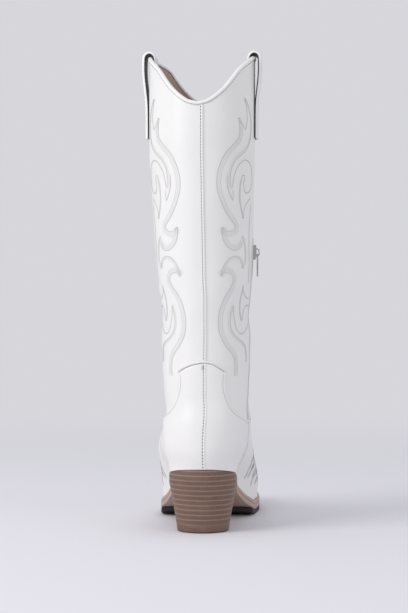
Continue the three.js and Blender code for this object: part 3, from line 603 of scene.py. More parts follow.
def lapped_sheet(name, places, height, base=0.04):
    """A closed leather piece that lies on the boot: a top face over a grid of places, and a flat back."""
    rows, count = places.shape[:2]
    turn = turn_of(places[:, :, 0], places[:, :, 1]) if places.shape[2] == 2 else places[:, :, 2].ravel()
    z = places[:, :, 1].ravel()
    spots, normals = leather(turn, z, 0.0)
    top = spots + normals * (base + 0.1 + height.ravel())[:, None]
    back = spots + normals * base
    faces = grid_faces(rows, count, wrap_columns=False)
    total = rows * count
    faces += [tuple(total + i for i in reversed(face)) for face in faces]
    rim = (
        [i for i in range(count)]
        + [row * count + count - 1 for row in range(1, rows)]
        + [(rows - 1) * count + i for i in range(count - 2, -1, -1)]
        + [row * count for row in range(rows - 2, 0, -1)]
    )
    for here, after in zip(rim, rim[1:] + rim[:1]):
        faces.append((here, after, total + after, total + here))
    return np.vstack([top, back]), faces


def near_edges(count, fine):
    """Shares from 0 to 1 with a few close ones near each end, for a rounded edge."""
    middle = np.linspace(0, 1, count)
    close = np.array(fine)
    return np.unique(np.concatenate([middle, close, 1 - close]))


def counter_mesh():
    halves = []
    for side in (-1, 1):
        place = counter_front[side]
        seam = side_seam(side, place)
        top = evenly(counter_top(side, place), 200)
        foot = np.linspace(heel_back + 0.001, place - seam_lean, 200) ** 1.0
        foot_turn = turn_at(side, foot, sole_line(foot))
        low = evenly(np.column_stack([round_at(foot_turn, sole_line(foot)), sole_line(foot)]), 200)
        low[0, 0] = 0
        back = np.column_stack([np.zeros(50), np.linspace(low[0, 1], ear_peak, 50)])
        across = near_edges(70, [0.003, 0.006, 0.01])
        across = np.unique(np.concatenate([across, np.linspace(0, 0.04, 12)]))
        up = near_edges(64, [0.003, 0.007, 0.011, 0.015, 0.02, 0.025, 0.03])
        halves.append((coons(low, top, back, seam, across, up), across, up))
    outer, across, up = halves[0]
    inner = halves[1][0]
    return np.concatenate([outer[:, ::-1], inner[:, 1:]], axis=1)


seam_path = {"height": [57, 95, 150, 165, 245, 360], "inward": [3.0, 1.9, 2.0, 2.4, 3.0, 3.6]}
seam_shift = column(seam_path, "height", "inward")
seam_reach = 18


def seam_profile(across):
    """The turned seam up the back: a rounded ridge with the stitched groove on its outer side."""
    ridge_part = seam_ridge_height * np.exp(-(((across - seam_ridge_side) / 0.55) ** 2))
    return ridge_part - 0.12 * np.exp(-(((across - seam_groove_side) / 0.45) ** 2))


counter_places = counter_mesh()
seam_pull = seam_shift(counter_places[:, :, 1]) * smooth(1 - np.abs(counter_places[:, :, 0]) / seam_reach)
counter_places[:, :, 0] += seam_pull


def edge_distances(places):
    """How far each grid place lies from the piece's top edge and from its side edges."""
    step_up = np.linalg.norm(np.diff(places, axis=0), axis=2)
    below_top = np.concatenate([np.cumsum(step_up[::-1], axis=0)[::-1], np.zeros((1, places.shape[1]))])
    step_across = np.linalg.norm(np.diff(places, axis=1), axis=2)
    from_left = np.concatenate([np.zeros((len(places), 1)), np.cumsum(step_across, axis=1)], axis=1)
    return below_top, from_left, from_left[:, -1:] - from_left


below_top, from_left, from_right = edge_distances(counter_places)
slope = np.gradient(counter_places[-1], axis=0)
squareness = np.abs(slope[:, 0]) / np.maximum(np.hypot(slope[:, 0], slope[:, 1]), 1e-6)
true_below_top = below_top * mix(0.25, 1, squareness)[None, :]
edge_away = np.minimum(np.minimum(true_below_top, from_left), from_right)
on_ear = smooth((counter_places[-1, :, 1] - ear_corner + 1.5) / 2.5)[None, :]
bead = ear_bead_height * np.exp(-(((true_below_top - 0.9) / 0.75) ** 4))
groove = -0.45 * np.exp(-(((true_below_top - 2.3) / 0.5) ** 2))
seam_away = counter_places[:, :, 0] - seam_shift(counter_places[:, :, 1])
counter_height = edge_round(edge_away, overlay_thickness) + (bead + groove) * on_ear * np.clip(edge_away / 0.5, 0, 1)
counter_height += seam_profile(seam_away) * smooth((true_below_top - 1.6) / 1.2)
counter = piece_from("heel_counter_leather", *lapped_sheet("counter", counter_places, counter_height))
counter.data.materials.append(white_leather)
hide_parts("heel_counter")
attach(counter, "boot")

# Vamp: the white leather over the forefoot and instep, lasted under the edge all round. It meets the
# counter at the side seams and climbs to a rounded tongue on the front of the shaft.
tongue_peak = 172
tongue_half = 7
vamp_shoulder = 12
vamp_rear = {-1: 40.6, 1: 45}


def vamp_half(side):
    """Side-view places of one half of the vamp, from its side seam to the line over the toe."""
    place = vamp_rear[side]
    tongue_front = float(front_at(tongue_peak))
    seam = flowing(
        [
            (place - seam_lean, sole_line(place - seam_lean)),
            (place - 0.17 * seam_lean, 0.5 * (heel_height + shoulder_height)),
            (place, shoulder_height),
        ],
        60,
    )
    top = flowing(
        [
            (place, shoulder_height),
            (place + vamp_shoulder, mix(shoulder_height, tongue_peak, 0.04)),
            (mix(place, tongue_front, 0.62), mix(shoulder_height, tongue_peak, 0.34)),
            (tongue_front - tongue_half, mix(shoulder_height, tongue_peak, 0.86)),
            (tongue_front, tongue_peak),
        ],
        200,
    )
    foot = np.linspace(place - seam_lean, heel_back + foot_length, 200)
    low = np.column_stack([foot, sole_line(foot)])
    peak_index = int(np.argmax(ridge[:, 1] >= tongue_peak))
    front = np.vstack([low[-1:], ridge[1:peak_index, :2], [[tongue_front, tongue_peak]]])
    across = np.unique(np.concatenate([1 - (1 - np.linspace(0, 1, 64)) ** 2, [0.004, 0.009, 0.015]]))
    up = near_edges(50, [0.004, 0.009, 0.015, 0.022])
    grid = coons(low, top, seam, evenly(front, 200), across, up)
    turn = turn_at(side, grid[:, :, 0].ravel(), grid[:, :, 1].ravel()).reshape(grid.shape[:2])
    turn[:, -1] = side * np.pi
    return np.dstack([grid, turn])


vamp_outer, vamp_inner = vamp_half(-1), vamp_half(1)
vamp_places = np.concatenate([vamp_inner, vamp_outer[:, ::-1][:, 1:]], axis=1)
below_top, from_left, from_right = edge_distances(vamp_places[:, :, :2])
edge_away = np.minimum(np.minimum(below_top * 0.7, from_left), from_right)
vamp_height = edge_round(edge_away, overlay_thickness)
vamp = piece_from("vamp_leather", *lapped_sheet("vamp", vamp_places, vamp_height))
vamp.data.materials.append(white_leather)
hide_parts("vamp")
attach(vamp, "boot")

# Collar binding: a thin white leather strip folded over the scalloped edge of the shaft, sewn through
# close under its lower edge. It ends in a soft roll that catches the light.
binding_profile = [
    (0.02, -1.2), (0.4, -1.3), (0.7, -1.1), (0.85, -0.7), (0.92, -0.2), (0.9, 0.3), (0.65, 0.85),
    (0.0, 1.25), (-0.9, 1.5), (-1.9, 1.3), (-2.45, 0.9), (-2.6, 0.3), (-2.65, -0.3), (-2.6, -0.8),
    (-2.5, -1.1), (-2.25, -1.2), (-1.75, -1.15), (-1.7, -0.1), (-0.1, -0.1), (-0.02, -0.7),
]


def along_collar(out, rise):
    """Points that follow the collar's edge, out from the leather and up past its edge."""
    rim = pushed(0, slice(top_row, None))[0]
    along = np.roll(rim, -1, axis=0) - np.roll(rim, 1, axis=0)
    along /= np.linalg.norm(along, axis=1)[:, None]
    away = outward[top_row]
    up = np.cross(away, along)
    up /= np.linalg.norm(up, axis=1)[:, None]
    up *= np.where(up[:, 2:] < 0, -1, 1)
    return rim + away * out + up * rise, away, along


binding_rings = np.array([along_collar(out, rise)[0] for out, rise in binding_profile])
binding = piece_from(
    "bound_collar",
    binding_rings.reshape(-1, 3),
    grid_faces(len(binding_profile), column_count, wrap_rows=True),
    50,
)
trim_leather = leather_material("white trim leather", (0.87, 0.865, 0.85), 0.36, 0.04, 1000.0, 0.35, 0.02)
binding.data.materials.append(trim_leather)
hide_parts("collar_binding")
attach(binding, "boot")

# Seam strips: the back and front seams of the shaft are turned to a narrow ridge with a stitched
# groove beside it, made of the same white leather as a strip laid over the seam.
strip_width = 3.4
front_round = 38.0


def seam_strip(name, middle_turn, low, high):
    """A strip up a seam, thin at both edges, with the ridge and the groove in its face."""
    heights = np.linspace(low, high, int((high - low) / 1.6))
    across = np.linspace(-strip_width / 2, strip_width / 2, 19)
    z = np.repeat(heights, len(across)).reshape(len(heights), -1)
    offset = np.tile(across, (len(heights), 1))
    if middle_turn == 0:
        turn = turn_of(offset.ravel() + seam_shift(z.ravel()), z.ravel())
    else:
        turn = np.pi + offset.ravel() / front_round
    spots, normals = leather(turn, z.ravel())
    edge = np.minimum(strip_width / 2 - np.abs(offset), np.minimum(z - low, high - z))
    height = 0.55 * np.sqrt(1 - (1 - np.clip(edge / 0.5, 0, 1)) ** 2)
    height = height + seam_profile(offset) * np.clip(edge / 0.5, 0, 1)
    top = spots + normals * (0.06 + height.ravel())[:, None]
    back = spots + normals * 0.02
    faces = grid_faces(len(heights), len(across), wrap_columns=False)
    total = len(top)
    faces += [tuple(total + i for i in reversed(face)) for face in faces]
    rows, count = z.shape
    rim = (
        list(range(count)) + [r * count + count - 1 for r in range(1, rows)]
        + [(rows - 1) * count + i for i in range(count - 2, -1, -1)] + [r * count for r in range(rows - 2, 0, -1)]
    )
    for here, after in zip(rim, rim[1:] + rim[:1]):
        faces.append((here, after, total + after, total + here))
    strip = piece_from(name, np.vstack([top, back]), faces)
    strip.data.materials.append(white_leather)
    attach(strip, "boot")
    return strip


under_binding = collar_height - 0.9
back_strip = seam_strip("back_seam_strip", 0, ear_peak - 1.0, under_binding - back_dip)
front_strip = seam_strip("front_seam_strip", np.pi, tongue_peak + 0.4, under_binding - front_dip)
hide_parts("back_seam_piping")
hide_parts("front_seam_piping")

# Pull straps: a band of doubled white leather over each tip of the collar, sewn flat to the shaft
# outside and inside. Each stands off the tip in a round loop, wide enough for two fingers.
strap_width = 22
strap_thickness = 3.0
strap_rise = 6
strap_drop = 71.5
strap_bulge = 3.0
strap_route = {
    "out": [0, 0.02, 0.12, 0.51, 0.93, 1, 0.7, -0.6, -1.95, -2.2, -2.1, -1.92, -1.8, -1.78, -1.78],
    "up": [0, 0.28, 0.42, 0.57, 0.73, 0.88, 0.97, 1, 0.965, 0.88, 0.73, 0.57, 0.42, 0.28, 0],
}
strap_middle = mix(back_at(collar_height), front_at(collar_height), 0.5)


# The strap's face turned to the shaft and into its loop is near-black: painted shade of the gap under the strap.
strap_underside_painted_shade = leather_material("painted shade on strap underside", (0.035, 0.033, 0.03), 0.6, 0.05, 1000.0, 0.2, 0.02)


def strap_path(count=150):
    knots = [
        (out * strap_bulge + seat_gap + strap_thickness / 2,
         mix(collar_height - strap_drop, collar_height + strap_rise - strap_thickness / 2, up))
        for out, up in zip(*strap_route.values())
    ]
    return flowing(knots, count)


def strap_section():
    """The band's rounded section: share of the width and share of the half thickness."""
    half = strap_width / 2
    corner = 0.75
    right = [(half - corner + corner * math.sin(a), math.cos(a)) for a in np.radians([0, 25, 50, 75, 90])]
    top = [(y, h) for y, h in right]
    face = [(y, 1.0) for y in np.linspace(-half + 2.2, half - 2.2, 9)]
    edge_dip = [(half - 1.75, 0.93)]
    upper_half = face + edge_dip + top
    lower_half = [(y, -h) for y, h in reversed(upper_half)]
    mirrored = [(-y, -h) for y, h in edge_dip + top]
    closing = [(-y, h) for y, h in reversed(edge_dip + top)]
    return upper_half + lower_half[1:-9] + [(y, -1.0) for y, _ in reversed(face)] + mirrored + closing[1:]


def pull_strap(name, side):
    path = strap_path()
    heading = np.gradient(path, axis=0)
    heading /= np.linalg.norm(heading, axis=1)[:, None]
    section = np.array(strap_section())
    rings = []
    for (out, z), (run, climb) in zip(path, heading):
        y = strap_middle + section[:, 0]
        base = skin_x(side, y, min(z, collar_height))
        thick = section[:, 1] * strap_thickness / 2
        rings.append(np.column_stack([base + side * (out + thick * climb), y, z - thick * run]))
    rings = np.array(rings)
    ends = [rings[0].mean(axis=0), rings[-1].mean(axis=0)]
    points = np.vstack([rings.reshape(-1, 3), ends])
    count = len(section)
    faces = grid_faces(len(rings), count)
    first, last = len(points) - 2, len(points) - 1
    for i in range(count):
        right = (i + 1) % count
        faces.append((first, i, right))
        faces.append((last, (len(rings) - 1) * count + right, (len(rings) - 1) * count + i))
    if side < 0:
        faces = [tuple(reversed(face)) for face in faces]
    strap = piece_from(name, points, faces, 55)
    strap.data.materials.append(trim_leather)
    strap.data.materials.append(strap_underside_painted_shade)
    # Faces on the strap's inner half get the near-black painted shade.
    for face in strap.data.polygons:
        depths = [section[v % count, 1] if v < first else 0 for v in face.vertices]
        face.material_index = int(np.mean(depths) < -0.3)
    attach(strap, "boot")
    return strap


outer_strap = pull_strap("outer_pull_strap", -1)
inner_strap = pull_strap("inner_pull_strap", 1)
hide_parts("pull_strap_outer")
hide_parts("pull_strap_inner")

# Half zip on the inner side: white tape and metal teeth at the bottom of a slit in the shaft, with the
# leather turned in and stitched along both lips. It runs from the slider down to the counter.
zip_top_height = 240
zip_place = 21
zip_foot = 38
zip_bottom = 62
zip_stop = 4
zip_slit_width = 7
zip_slit_depth = 1.2
zip_tape_width = 6.6
zip_tooth_pitch = 1.55
slider_length = 13
slider_width = 6.6
zip_slit_top = zip_top_height + slider_length + zip_stop


def zip_line(count):
    """Side-view places down the zip, from above the slider to its foot on the counter."""
    rows = [
        (zip_place, zip_slit_top + zip_stop),
        (zip_place, zip_top_height),
        (zip_place + 1, 0.8 * zip_top_height),
        (mix(zip_place, zip_foot, 0.25), ankle_height),
        (mix(zip_place, zip_foot, 0.62), mix(shoulder_height, ankle_height, 0.4)),
        (mix(zip_place, zip_foot, 0.9), shoulder_height),
        (zip_foot, zip_bottom),
    ]
    return flowing(rows, count)


def zip_row(low, high, across, out, count=None, pitch=None):
    """Points and ways out along the zip between two heights, a little to its front or back."""
    line = zip_line(800)
    line = line[(line[:, 1] >= low) & (line[:, 1] <= high)]
    if pitch:
        count = int(np.linalg.norm(np.diff(line, axis=0), axis=1).sum() / pitch)
    line = evenly(line, count)
    tangent = np.gradient(line, axis=0)
    tangent /= np.linalg.norm(tangent, axis=1)[:, None]
    y = line[:, 0] - across * tangent[:, 1]
    z = line[:, 1] + across * tangent[:, 0]
    spots, normals = leather(turn_at(1, y, z), z, out)
    return spots, normals


def ribbon(name, rows, smooth_angle=None):
    """A closed strip from a loop of points at each step along it."""
    rings = np.array(rows)
    steps, count = rings.shape[:2]
    ends = [rings[0].mean(axis=0), rings[-1].mean(axis=0)]
    faces = grid_faces(steps, count)
    first, last = steps * count, steps * count + 1
    for i in range(count):
        right = (i + 1) % count
        faces.append((first, i, right))
        faces.append((last, (steps - 1) * count + right, (steps - 1) * count + i))
    return piece_from(name, np.vstack([rings.reshape(-1, 3), ends]), faces, smooth_angle)


def strip_along_zip(name, low, high, section, count, smooth_angle=None):
    """A strip that follows the zip, with the section given as places across it and heights off the leather."""
    lines = [zip_row(low, high, across, out, count)[0] for across, out in section]
    return ribbon(name, np.stack(lines, axis=1), smooth_angle)


slit_section = [(-zip_slit_width / 2, -zip_slit_depth), (zip_slit_width / 2, -zip_slit_depth),
                (zip_slit_width / 2, 3), (-zip_slit_width / 2, 3)]
slit_cutter = strip_along_zip("slit_cutter", zip_bottom, zip_slit_top, slit_section, 130)
bpy.ops.object.select_all(action="DESELECT")
upper.select_set(True)
bpy.context.view_layer.objects.active = upper
slit = upper.modifiers.new("slit", "BOOLEAN")
slit.operation = "DIFFERENCE"
slit.solver = "MANIFOLD"
slit.object = slit_cutter
bpy.ops.object.modifier_apply(modifier=slit.name)
bpy.data.objects.remove(slit_cutter)
outer_tree = BVHTree.FromPolygons(
    [Vector(point) for point in outer_wall.reshape(-1, 3)], grid_faces(len(outer_wall), column_count)
)
upper.data.materials.clear()
upper.data.materials.append(white_leather)
upper.data.materials.append(taupe_lining)
lining_depth = 1.5
for face in upper.data.polygons:
    face.material_index = int(outer_tree.find_nearest(face.center * 1000)[3] > lining_depth)

half_tape = zip_tape_width / 2
tape_section = [(-half_tape, -0.95), (-half_tape, -0.55), (-1.6, -0.42), (1.6, -0.42), (half_tape, -0.55),
                (half_tape, -0.95), (0, -1.0)]
tape = strip_along_zip("woven_tape", zip_bottom + 1, zip_slit_top - 0.6, tape_section, 160, 40)
woven_tape = bpy.data.materials.new("white woven zip tape")
woven_tape.use_nodes = True
tape_nodes, tape_links = woven_tape.node_tree.nodes, woven_tape.node_tree.links
tape_shader = tape_nodes["Principled BSDF"]
tape_shader.inputs["Base Color"].default_value = (0.72, 0.715, 0.7, 1)
tape_shader.inputs["Roughness"].default_value = 0.9
tape_place = tape_nodes.new("ShaderNodeTexCoord")
tape_weave = tape_nodes.new("ShaderNodeTexWave")
tape_weave.bands_direction = "Z"
tape_weave.inputs["Scale"].default_value = 420
tape_relief = tape_nodes.new("ShaderNodeBump")
tape_relief.inputs["Strength"].default_value = 0.35
tape_relief.inputs["Distance"].default_value = 0.0003
tape_links.new(tape_place.outputs["Object"], tape_weave.inputs["Vector"])
tape_links.new(tape_weave.outputs["Fac"], tape_relief.inputs["Height"])
tape_links.new(tape_relief.outputs["Normal"], tape_shader.inputs["Normal"])
tape.data.materials.append(woven_tape)
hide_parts("zip_tape")
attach(tape, "boot")

# Gunmetal for the teeth, the slider and its tab: plated, lightly brushed and worn brighter in spots.
gunmetal = bpy.data.materials.new("gunmetal plating")
gunmetal.use_nodes = True
metal_nodes, metal_links = gunmetal.node_tree.nodes, gunmetal.node_tree.links
metal_shader = metal_nodes["Principled BSDF"]
metal_shader.inputs["Metallic"].default_value = 1
metal_shader.inputs["Base Color"].default_value = (0.4, 0.395, 0.39, 1)
metal_place = metal_nodes.new("ShaderNodeTexCoord")
metal_wear = metal_nodes.new("ShaderNodeTexNoise")
metal_wear.inputs["Scale"].default_value = 480
metal_gloss = metal_nodes.new("ShaderNodeMapRange")
metal_gloss.inputs["To Min"].default_value = 0.2
metal_gloss.inputs["To Max"].default_value = 0.42
metal_links.new(metal_place.outputs["Object"], metal_wear.inputs["Vector"])
metal_links.new(metal_wear.outputs["Fac"], metal_gloss.inputs["Value"])
metal_links.new(metal_gloss.outputs["Result"], metal_shader.inputs["Roughness"])


def copies_along(template, spots, ways, names, sizes=(1, 1, 1)):
    """Joined copies of a small shape, each set at a spot with its x, y and z along three given ways."""
    shape = np.array([corner.co for corner in template.data.vertices]) * 1000 * np.array(sizes)
    faces = [list(face.vertices) for face in template.data.polygons]
    across, along, out = ways
    placed = (
        spots[:, None]
        + across[:, None] * shape[None, :, :1]
        + along[:, None] * shape[None, :, 1:2]
        + out[:, None] * shape[None, :, 2:]
    )
    count = len(shape)
    corners = [[i + copy * count for i in face] for copy in range(len(spots)) for face in faces]
    mesh = bpy.data.meshes.new(names)
    mesh.from_pydata((placed.reshape(-1, 3) * 0.001).tolist(), [], corners)
    mesh.polygons.foreach_set("use_smooth", [True] * len(mesh.polygons))
    joined = bpy.data.objects.new(names, mesh)
    bpy.context.scene.collection.objects.link(joined)
    return joined


def ways_along(spots, normals):
    """Across, along and out directions at points of a row."""
    along = np.gradient(spots, axis=0)
    along /= np.linalg.norm(along, axis=1)[:, None]
    across = np.cross(along, normals)
    across /= np.linalg.norm(across, axis=1)[:, None]
    return across, along, np.cross(across, along)


# One tooth is a small block with a rounded head that reaches over the zip's middle.
bpy.ops.object.select_all(action="DESELECT")
bpy.ops.mesh.primitive_cube_add(size=0.001, location=(0, 0, 0))
tooth = bpy.context.object
bpy.ops.object.mode_set(mode="EDIT")
bpy.ops.mesh.select_all(action="SELECT")
bpy.ops.transform.resize(value=(2.7, 1.05, 0.95))
bpy.ops.transform.translate(value=(0.00075, 0, 0))
bpy.ops.mesh.bevel(offset=0.00022, segments=1)
bpy.ops.object.mode_set(mode="OBJECT")
for row_name, sign in (("rear", -1), ("front", 1)):
    spots, normals = zip_row(zip_bottom + 2, zip_top_height + 2, 0, 0.15, pitch=zip_tooth_pitch)
    across, along, out = ways_along(spots, normals)
    shift = 0.25 * zip_tooth_pitch * sign
    teeth = copies_along(tooth, spots + along * shift, (across * sign, along * sign, out), f"teeth_{row_name}")
    teeth.data.materials.append(gunmetal)
    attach(teeth, "boot")
bpy.data.objects.remove(tooth)
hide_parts("zip_teeth")

# Lips of the slit: the leather's cut edges, turned in to a thin roll on each side of the teeth.
for lip_name, sign in (("rear", -1), ("front", 1)):
    at = sign * zip_slit_width / 2
    lip_section = [(at + sign * (x - 0.9), h) for x, h in
                   [(0, -0.5), (0.1, 0.25), (0.5, 0.62), (1.1, 0.68), (2.0, 0.5), (3.0, 0.28), (3.8, 0.04), (3.4, -0.1), (1.0, -0.15)]]
    lip = strip_along_zip(f"slit_lip_{lip_name}", zip_bottom + 34, zip_slit_top + 1, lip_section, 150)
    lip.data.materials.append(white_leather)
    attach(lip, "boot")

# Slider: a cast metal body with a wedge-shaped nose and a bridge over it. It sits at the top of the
# closed zip and rides on the boot.
slider_thickness = 3
bridge_half = 3.4
bridge_rise = 2.8
bridge_width = 2
bridge_wall = 0.9


def slit_x(z):
    return float(skin_x(1, zip_place, z)[0])


slider_middle = zip_top_height + slider_length / 2
slider_lean = math.atan2(slit_x(zip_top_height + slider_length) - slit_x(zip_top_height), slider_length)
slider_turn = Matrix.Rotation(slider_lean, 4, "Y")
slider_spot = Vector((slit_x(slider_middle) + seat_gap, zip_place, slider_middle)) * 0.001


def seat_on_zip(piece, name):
    """Moves a piece that was drawn at the origin, with x out of the leather, to the slider's place."""
    piece.name = name
    piece.data.name = name
    piece.data.transform(Matrix.Translation(slider_spot) @ slider_turn)
    piece.data.materials.append(gunmetal)


bpy.ops.object.select_all(action="DESELECT")
bpy.ops.mesh.primitive_cube_add(size=0.001, location=(slider_thickness * 0.0005, 0, 0))
slider = bpy.context.object
bpy.ops.object.mode_set(mode="EDIT")
bpy.ops.mesh.select_all(action="SELECT")
bpy.ops.transform.resize(value=(slider_thickness, slider_width, slider_length))
bpy.ops.mesh.subdivide(number_cuts=3)
bpy.ops.object.mode_set(mode="OBJECT")
for corner in slider.data.vertices:
    up = corner.co.z / (slider_length * 0.0005)
    corner.co.y *= 1 - 0.34 * max(0.0, -up) ** 2 - 0.12 * max(0.0, up) ** 3
    if corner.co.x > 0.001:
        corner.co.x -= 0.00055 * up * up
bpy.ops.object.modifier_add(type="BEVEL")
slider.modifiers[-1].width = 0.0004
slider.modifiers[-1].segments = 3
bpy.ops.object.modifier_apply(modifier=slider.modifiers[-1].name)
bpy.ops.object.mode_set(mode="EDIT")
bpy.ops.mesh.select_all(action="SELECT")
bpy.ops.mesh.remove_doubles(threshold=0.00001)
bpy.ops.mesh.dissolve_degenerate(threshold=0.00001)
bpy.ops.object.mode_set(mode="OBJECT")
bpy.ops.object.shade_smooth()

# The bridge is an arch of flat wire that holds the tab's pin.
arch = []
arch_reach = slider_thickness + bridge_rise - bridge_wall / 2
for x, z in flowing(
    [(slider_thickness - 0.6, -bridge_half + 0.2), (slider_thickness + 1.3, -bridge_half + 0.35),
     (arch_reach, -bridge_half + 1.7), (arch_reach + 0.05, 0), (arch_reach - 0.1, bridge_half - 1.9),
     (slider_thickness + 1.2, bridge_half - 0.4), (slider_thickness - 0.6, bridge_half - 0.2)], 40):
    arch.append((x, z))
arch = np.array(arch)
arch_way = np.gradient(arch, axis=0)
arch_way /= np.linalg.norm(arch_way, axis=1)[:, None]
wire = [(math.cos(a) * bridge_wall * 0.5, math.sin(a) * bridge_width * 0.5) for a in np.radians(range(0, 360, 30))]
arch_rings = [
    [(x + h * way[1], w, z - h * way[0]) for h, w in wire] for (x, z), way in zip(arch, arch_way)
]
bridge = ribbon("slider_bridge", arch_rings)
seat_on_zip(slider, "slider_body")
seat_on_zip(bridge, "slider_bridge")
for part in (slider, bridge):
    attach(part, "boot")
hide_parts("zip_slider")

# Pull tab: a stamped metal plate with a long eye, hung on its pin in the bridge. It swings up and out
# on the pin, away from the leather.
tab_length = 20
tab_width = 6.5
tab_thickness = 1.1
tab_eye = 5.6
pin_half = tab_thickness / 2
pin_up = bridge_wall - bridge_half + pin_half + seat_gap
pin_out = slider_thickness + 0.1 + pin_half + seat_gap
tab_pin = slider_spot + (slider_turn @ Vector((pin_out, 0, pin_up))) * 0.001


def tab_outline(inset, waist=0.8):
    """The tab's outline round from its top: straight at the pin, waisted, and round at its end."""
    half = tab_width / 2 - inset
    right = [
        (half, pin_half - inset), (half, -tab_eye), (half - waist, -tab_eye - 2.4),
        (half - waist * 0.9, -tab_length * 0.62), (half - 0.2, -tab_length + 3.4 + inset),
        (half - 0.9, -tab_length + 1.2 + inset), (half - 2.1, -tab_length + 0.15 + inset),
    ]
    line = flowing(right[1:], 22)
    side = np.vstack([right[:1], line])
    return np.vstack([side, side[::-1] * [-1, 1]])


eye_half = bridge_width / 2 + 0.6


def eye_outline(grow, count):
    """The eye's outline, matched in number to the outer one: its top edge is the round pin."""
    side = flowing(
        [(eye_half + grow, -pin_half - 0.15 - grow), (eye_half + grow, -tab_eye + 1.0),
         (eye_half - 0.5 + grow, -tab_eye + 0.1 - grow), (0.35, -tab_eye - 0.1 - grow)], count // 2 - 1)
    side = np.vstack([[(eye_half + grow, -pin_half + 0.1)], side])
    return np.vstack([side, side[::-1] * [-1, 1]])


tab_layers = [(0.28, -1.0), (0.06, -0.72), (0.0, 0.0), (0.06, 0.72), (0.28, 1.0)]
outer_loops = [[(level * pin_half, y, z) for y, z in tab_outline(inset)] for inset, level in tab_layers]
count = len(outer_loops[0])
eye_loops = [[(level * pin_half, y, z) for y, z in eye_outline(inset, count)] for inset, level in reversed(tab_layers)]
tab_points = np.array(outer_loops + eye_loops).reshape(-1, 3)
tab = piece_from(
    "pull_tab_plate",
    tab_points,
    grid_faces(len(outer_loops) + len(eye_loops), count, wrap_rows=True),
    45,
)
tab.data.transform(Matrix.Translation(tab_pin))
tab.data.materials.append(gunmetal)
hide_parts("zip_pull_tab")
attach(tab, "pull_tab")

# Insole: a thin taupe leather sock on its board, laid in the bottom of the boot. It is let in a
# little from the wall all round, and its top edge is soft.
insole_thickness = 3
insole_inset = 1.2
welt_edge = 3.5
sole_edge = column(sole_line_rows, "along", "edge", welt_edge)


def sole_outline(grow=0.0):
    """Side-view places round the sole, from the back seam, at the edge of the welt or inside it."""
    rim = skin[0] + outward[0] * (sole_edge(along_at(skin[0, :, 1])) + grow)[:, None]
    return np.column_stack([rim[:, 0], rim[:, 1], skin[0, :, 1]])


def rim_ways(outline):
    """The outward way at each place of a closed outline that runs clockwise seen from above."""
    along = np.roll(outline[:, :2], -1, axis=0) - np.roll(outline[:, :2], 1, axis=0)
    along /= np.linalg.norm(along, axis=1)[:, None]
    return np.column_stack([-along[:, 1], along[:, 0]])


def cap_faces(first, count, lead):
    """Faces across a closed outline, each between two places of the outer side and two of the inner."""
    faces = []
    here = 0
    while here < (lead - here) % count or here == 0:
        corners = [here, here + 1, (lead - here - 1) % count, (lead - here) % count]
        corners = list(dict.fromkeys(corners))
        if len(corners) > 2:
            faces.append(tuple(first + corner for corner in corners))
        here += 1
        if here >= (lead - here) % count:
            break
    return faces


def layer_from(name, rings, lead, smooth_angle=40):
    """A closed layer from rings of one outline, the first ring on top and the last underneath."""
    rings = np.array(rings)
    steps, count = rings.shape[:2]
    faces = grid_faces(steps, count)
    faces += cap_faces(0, count, lead)
    faces += [tuple(reversed(face)) for face in cap_faces((steps - 1) * count, count, lead)]
    return piece_from(name, rings.reshape(-1, 3), faces, smooth_angle)


def sole_layer(name, outline, edge_profile, lead=0):
    """A sole layer that follows the sole line: each row is how far out its edge is and how far down."""
    ways = rim_ways(outline)
    rings = []
    for grow, drop in edge_profile:
        grow = np.broadcast_to(grow, len(outline))[:, None]
        drop = np.broadcast_to(drop, len(outline))
        rings.append(np.column_stack([outline[:, :2] + ways * grow, sole_line(outline[:, 2]) - drop]))
    return layer_from(name, rings, lead)


insole_rim = skin[0] - outward[0] * (upper_wall + insole_inset)
insole_outline = np.column_stack([insole_rim[:, :2], skin[0, :, 1]])
insole_profile = [
    (-5, -insole_thickness), (-0.8, -insole_thickness), (-0.25, -insole_thickness + 0.2),
    (0, -insole_thickness + 0.7), (0, -0.4), (-0.4, -0.1), (-3, -0.1),
]
insole = sole_layer("insole_sock", insole_outline, insole_profile)
insole.data.materials.append(taupe_lining)
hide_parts("insole")
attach(insole, "boot")

# Welt and outsole: two layers of brown sole leather round the foot, with their edges trimmed flush
# and burnished. The heel's cover hides them behind its breast, as it rises to the upper.
welt_thickness = 3.4
outsole_thickness = 4.6
tread_thickness = 4.4
layer_gap = 0.25
heel_top_length = 61
heel_cover = 1.6
sole_rim = sole_outline()
heel_back_top = sole_rim[0, 1]
heel_breast = heel_back_top + heel_top_length


def sole_leather_material(name, colour, edge_colour):
    """Burnished sole leather: speckled fibre with fine streaks along the edge."""
    material = bpy.data.materials.new(name)
    material.use_nodes = True
    nodes, links = material.node_tree.nodes, material.node_tree.links
    shader = nodes["Principled BSDF"]
    place = nodes.new("ShaderNodeTexCoord")
    flat = nodes.new("ShaderNodeMapping")
    flat.inputs["Scale"].default_value = (1, 1, 9)
    links.new(place.outputs["Object"], flat.inputs["Vector"])
    fibre = nodes.new("ShaderNodeTexNoise")
    fibre.inputs["Scale"].default_value = 260
    fibre.inputs["Detail"].default_value = 5
    links.new(flat.outputs["Vector"], fibre.inputs["Vector"])
    tint = nodes.new("ShaderNodeValToRGB")
    tint.color_ramp.elements[0].position = 0.3
    tint.color_ramp.elements[0].color = (*colour, 1)
    tint.color_ramp.elements[1].position = 0.7
    tint.color_ramp.elements[1].color = (*edge_colour, 1)
    links.new(fibre.outputs["Fac"], tint.inputs["Fac"])
    links.new(tint.outputs["Color"], shader.inputs["Base Color"])
    relief = nodes.new("ShaderNodeBump")
    relief.inputs["Strength"].default_value = 0.2
    relief.inputs["Distance"].default_value = 0.0003
    links.new(fibre.outputs["Fac"], relief.inputs["Height"])
    links.new(relief.outputs["Normal"], shader.inputs["Normal"])
    shader.inputs["Roughness"].default_value = 0.5
    shader.inputs["Specular IOR Level"].default_value = 0.35
    return material


